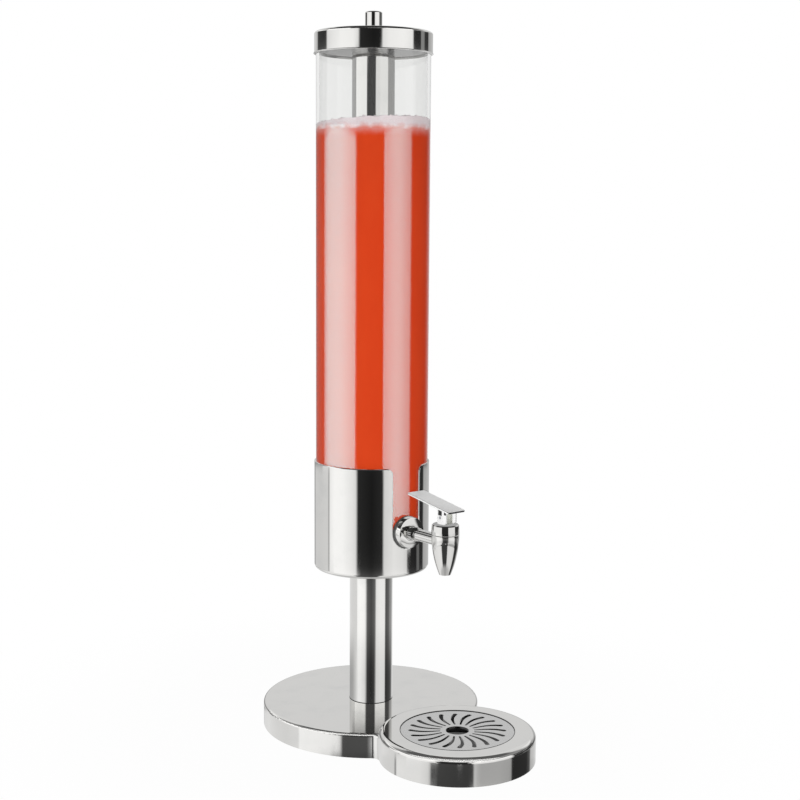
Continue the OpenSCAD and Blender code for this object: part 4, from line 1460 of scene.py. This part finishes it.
# What the tube's panels share, then the skies, then the skies that lie to the sides.
TUBE: Mapping[str, Any] = {
    "reach": 1.2,
    "height": 0.27,
    "depth": 0.84,
    "receivers": ("tube_wall",),
    "tint": (0.24, 1.0, 1.03),
    "upward": ((0.0, 1.0), (0.964, 1.0), (0.987, 0.0), (1.0, 0.0)),
}
SKY: Mapping[str, Any] = {"height": 1.6, "width": 8.8, "radiance": 0.3, "tilt_deg": 90.0}
SIDES: Mapping[str, Any] = {"turn_deg": 180.0, "reach": 0.55, "depth": 4.9}
PANELS = (
    Panel(
        name="left_panel",
        turn_deg=-74.5,
        width=2.44,
        radiance=11.7,
        across=(
            (0.0, 0.0), (0.08, 0.0), (0.11, 0.06), (0.186, 0.3), (0.264, 0.55), (0.335, 0.69),
            (0.385, 0.75), (0.48, 0.87), (0.55, 0.95), (0.61, 0.92), (0.733, 0.8), (0.825, 0.7),
            (0.9, 0.7), (0.93, 0.08), (1.0, 0.0),
        ),
        **TUBE,
    ),
    Panel(
        name="right_panel",
        turn_deg=55.0,
        width=1.68,
        radiance=8.5,
        across=(
            (0.0, 0.0), (0.02, 0.1), (0.045, 0.62), (0.128, 0.74), (0.2, 0.82), (0.272, 0.93),
            (0.36, 1.0), (0.475, 1.0), (0.532, 0.93), (0.653, 0.72), (0.72, 0.59), (0.8, 0.46),
            (0.845, 0.4), (0.89, 0.02), (1.0, 0.0),
        ),
        **TUBE,
    ),
    Panel(
        name="shoulder_panel",
        turn_deg=-6.0,
        reach=1.4,
        height=0.95,
        width=3.0,
        depth=1.8,
        radiance=0.85,
        receivers=("base_shell",),
        tilt_deg=90.0,
    ),
    Panel(
        name="front_sky",
        turn_deg=0.0,
        reach=3.15,
        depth=2.5,
        receivers=("base_shell", "drip_grille", "lid_cap"),
        **SKY,
    ),
    Panel(
        name="side_sky",
        receivers=("base_shell", "drip_grille"),
        across=((0.0, 1.0), (0.28, 1.0), (0.32, 0.3), (0.68, 0.3), (0.72, 1.0), (1.0, 1.0)),
        **SKY,
        **SIDES,
    ),
    Panel(
        name="lid_sky",
        receivers=("lid_cap",),
        across=((0.0, 1.0), (0.28, 1.0), (0.32, 0.0), (0.68, 0.0), (0.72, 1.0), (1.0, 1.0)),
        **SKY,
        **SIDES,
    ),
    Panel(
        name="drink_key",
        turn_deg=3.0,
        reach=1.6,
        height=0.4,
        width=3.8,
        depth=1.0,
        radiance=2.5,
        receivers=("juice_fill", "froth"),
        across=((0.0, 1.0), (0.25, 1.0), (0.42, 0.42), (0.7, 0.42), (0.85, 0.6), (1.0, 0.6)),
        mirrored=False,
    ),
)


@dataclass(frozen=True)
class Studio:
    """White floor, a wall of soft panels and dark gaps, and a white backdrop."""

    camera_azimuth_deg: float = 232.16
    floor_size: float = 12.0
    floor_tone: Colour = (0.95, 0.95, 0.95)
    floor_glow: float = 0.98
    shadow_reach: Band = (0.16, 0.5)

    def build(self) -> None:
        """Makes the world, the floor and the panels that serve single pieces."""
        bpy.context.scene.view_settings.view_transform = "Standard"
        self._world()
        self._floor()
        for panel in PANELS:
            panel.build(self.camera_azimuth_deg)

    @staticmethod
    def _tier_light(graph: Graph, turn: Wire, tier: Tier) -> Wire:
        """Light of a tier at a turn in radians, as a share of the brightest light."""
        stops = [((place + 180) / 360, light / PEAK) for place, light in tier.stops]
        return graph.ramp(stops, turn / math.tau + 0.5)

    def _world(self) -> None:
        """Makes the wall of panels, white where the camera looks straight past the object."""
        world = bpy.data.worlds.new("studio")
        bpy.context.scene.world = world
        world.use_nodes = True
        graph = Graph(world.node_tree)
        way = graph.node("ShaderNodeTexCoord", output="Generated")
        azimuth = math.radians(self.camera_azimuth_deg)
        front = (math.cos(azimuth), math.sin(azimuth), 0.0)
        right = (-math.sin(azimuth), math.cos(azimuth), 0.0)
        to_right, to_front, upward = (
            graph.vector("DOT_PRODUCT", {0: way, 1: axis}, "Value")
            for axis in (right, front, (0.0, 0.0, 1.0))
        )
        turn = graph.math("ARCTAN2", to_right, to_front)
        rise = graph.math("ARCSINE", upward) * math.degrees(1)
        wall = self._tier_light(graph, turn, TIERS[0])
        for below, tier in zip(TIERS, TIERS[1:]):
            half = below.soft_deg / 2
            edge = rise.step(below.top_deg - half, below.top_deg + half)
            wall = graph.mix(edge, wall, self._tier_light(graph, turn, tier))
        lit = graph.vector("SCALE", {0: wall, "Scale": PEAK})
        camera, through, mirrored, crossings = (
            graph.node("ShaderNodeLightPath", output=name)
            for name in (
                "Is Camera Ray", "Is Transmission Ray", "Is Glossy Ray", "Transmission Depth"
            )
        )
        # After an odd number of crossings a mirrored ray is inside the clear wall.
        open_view = camera + through + mirrored * graph.math("MODULO", crossings, 2.0)
        colour = graph.mix(open_view, lit, WHITE)
        shader = graph.node("ShaderNodeBackground", {}, {"Color": colour, "Strength": 1.0})
        graph.surface(shader, "ShaderNodeOutputWorld")

    def _floor(self) -> None:
        """Makes the white floor, which keeps the object's shadow near its foot."""
        mesh = bmesh.new()
        bmesh.ops.create_grid(mesh, x_segments=1, y_segments=1, size=self.floor_size / 2)
        floor = Shapes.piece("floor", mesh)
        material = bpy.data.materials.new("white_floor")
        material.use_nodes = True
        graph = Graph(material.node_tree)
        reach = graph.vector("LENGTH", {0: graph.place()}, "Value")
        glow = reach.step(*self.shadow_reach) * (1.0 - self.floor_glow) + self.floor_glow
        matt = graph.node("ShaderNodeBsdfDiffuse", {}, {"Color": self.floor_tone})
        light = graph.node("ShaderNodeEmission", {}, {"Color": WHITE, "Strength": 1.0})
        graph.surface(graph.node("ShaderNodeMixShader", {}, {0: glow, 1: matt, 2: light}))
        floor.data.materials.append(material)
        floor.visible_glossy = False


CAD_DRESS = CadDress(
    finishes={
        POLISHED: (
            "base_shell", "column_tube", "cup_holder", "lid_cap", "lid_knob", "ice_tube",
            "ice_tube_cap",
        ),
        GRILLE_SATIN: ("drip_grille",),
        # The drip pan's near-black tone is painted shade.
        PAINTED_SHADE_SATIN: ("drip_pan",),
        PLUG_SATIN: ("lid_plug",),
        CHROME: ("tap_shank", "tap_body"),
        CAP_CHROME: ("tap_cap",),
        ZINC: (
            "base_stiffener", "base_plate", "base_pillars", "plate_screws", "column_foot_plug",
            "column_head_plug", "column_bolt", "column_washer", "cup_bolt", "cup_washer",
            "lock_nut", "lever_pin", "knob_screw", "ice_socket",
        ),
        CLEAR: ("container_floor",),
        BLACK_RUBBER: ("anti_slip_mat", "cup_pad", "inner_gasket"),
        GREY_RUBBER: ("tap_gasket",),
        SILICONE: ("plunger_seal", "lid_seal"),
        PLASTIC: ("plunger_stem",),
    },
    unmirrored=(
        "base_shell", "base_stiffener", "base_plate", "base_pillars", "plate_screws",
        "anti_slip_mat", "column_bolt", "column_washer", "drip_pan", "drip_grille", "cup_holder",
        "cup_pad", "container_floor", "inner_gasket", "tap_gasket", "lock_nut", "tap_body",
        "tap_cap", "plunger_stem", "lever_pin",
    ),
)


def main() -> None:
    """Builds the camera, the dressed nodes, the made pieces and the studio in order."""
    logging.basicConfig(level=logging.INFO, format="%(name)s: %(message)s")
    Viewpoint().build()
    CAD_DRESS.dress()
    for part in (
        ClearTube(), Drink(), TapLever(), TapCollar(), ValveSpring(), CupRim(), GrilleShadeRing(),
        ColumnJoint(),
    ):
        part.build()
    Studio().build()


if __name__ == "__main__":
    main()
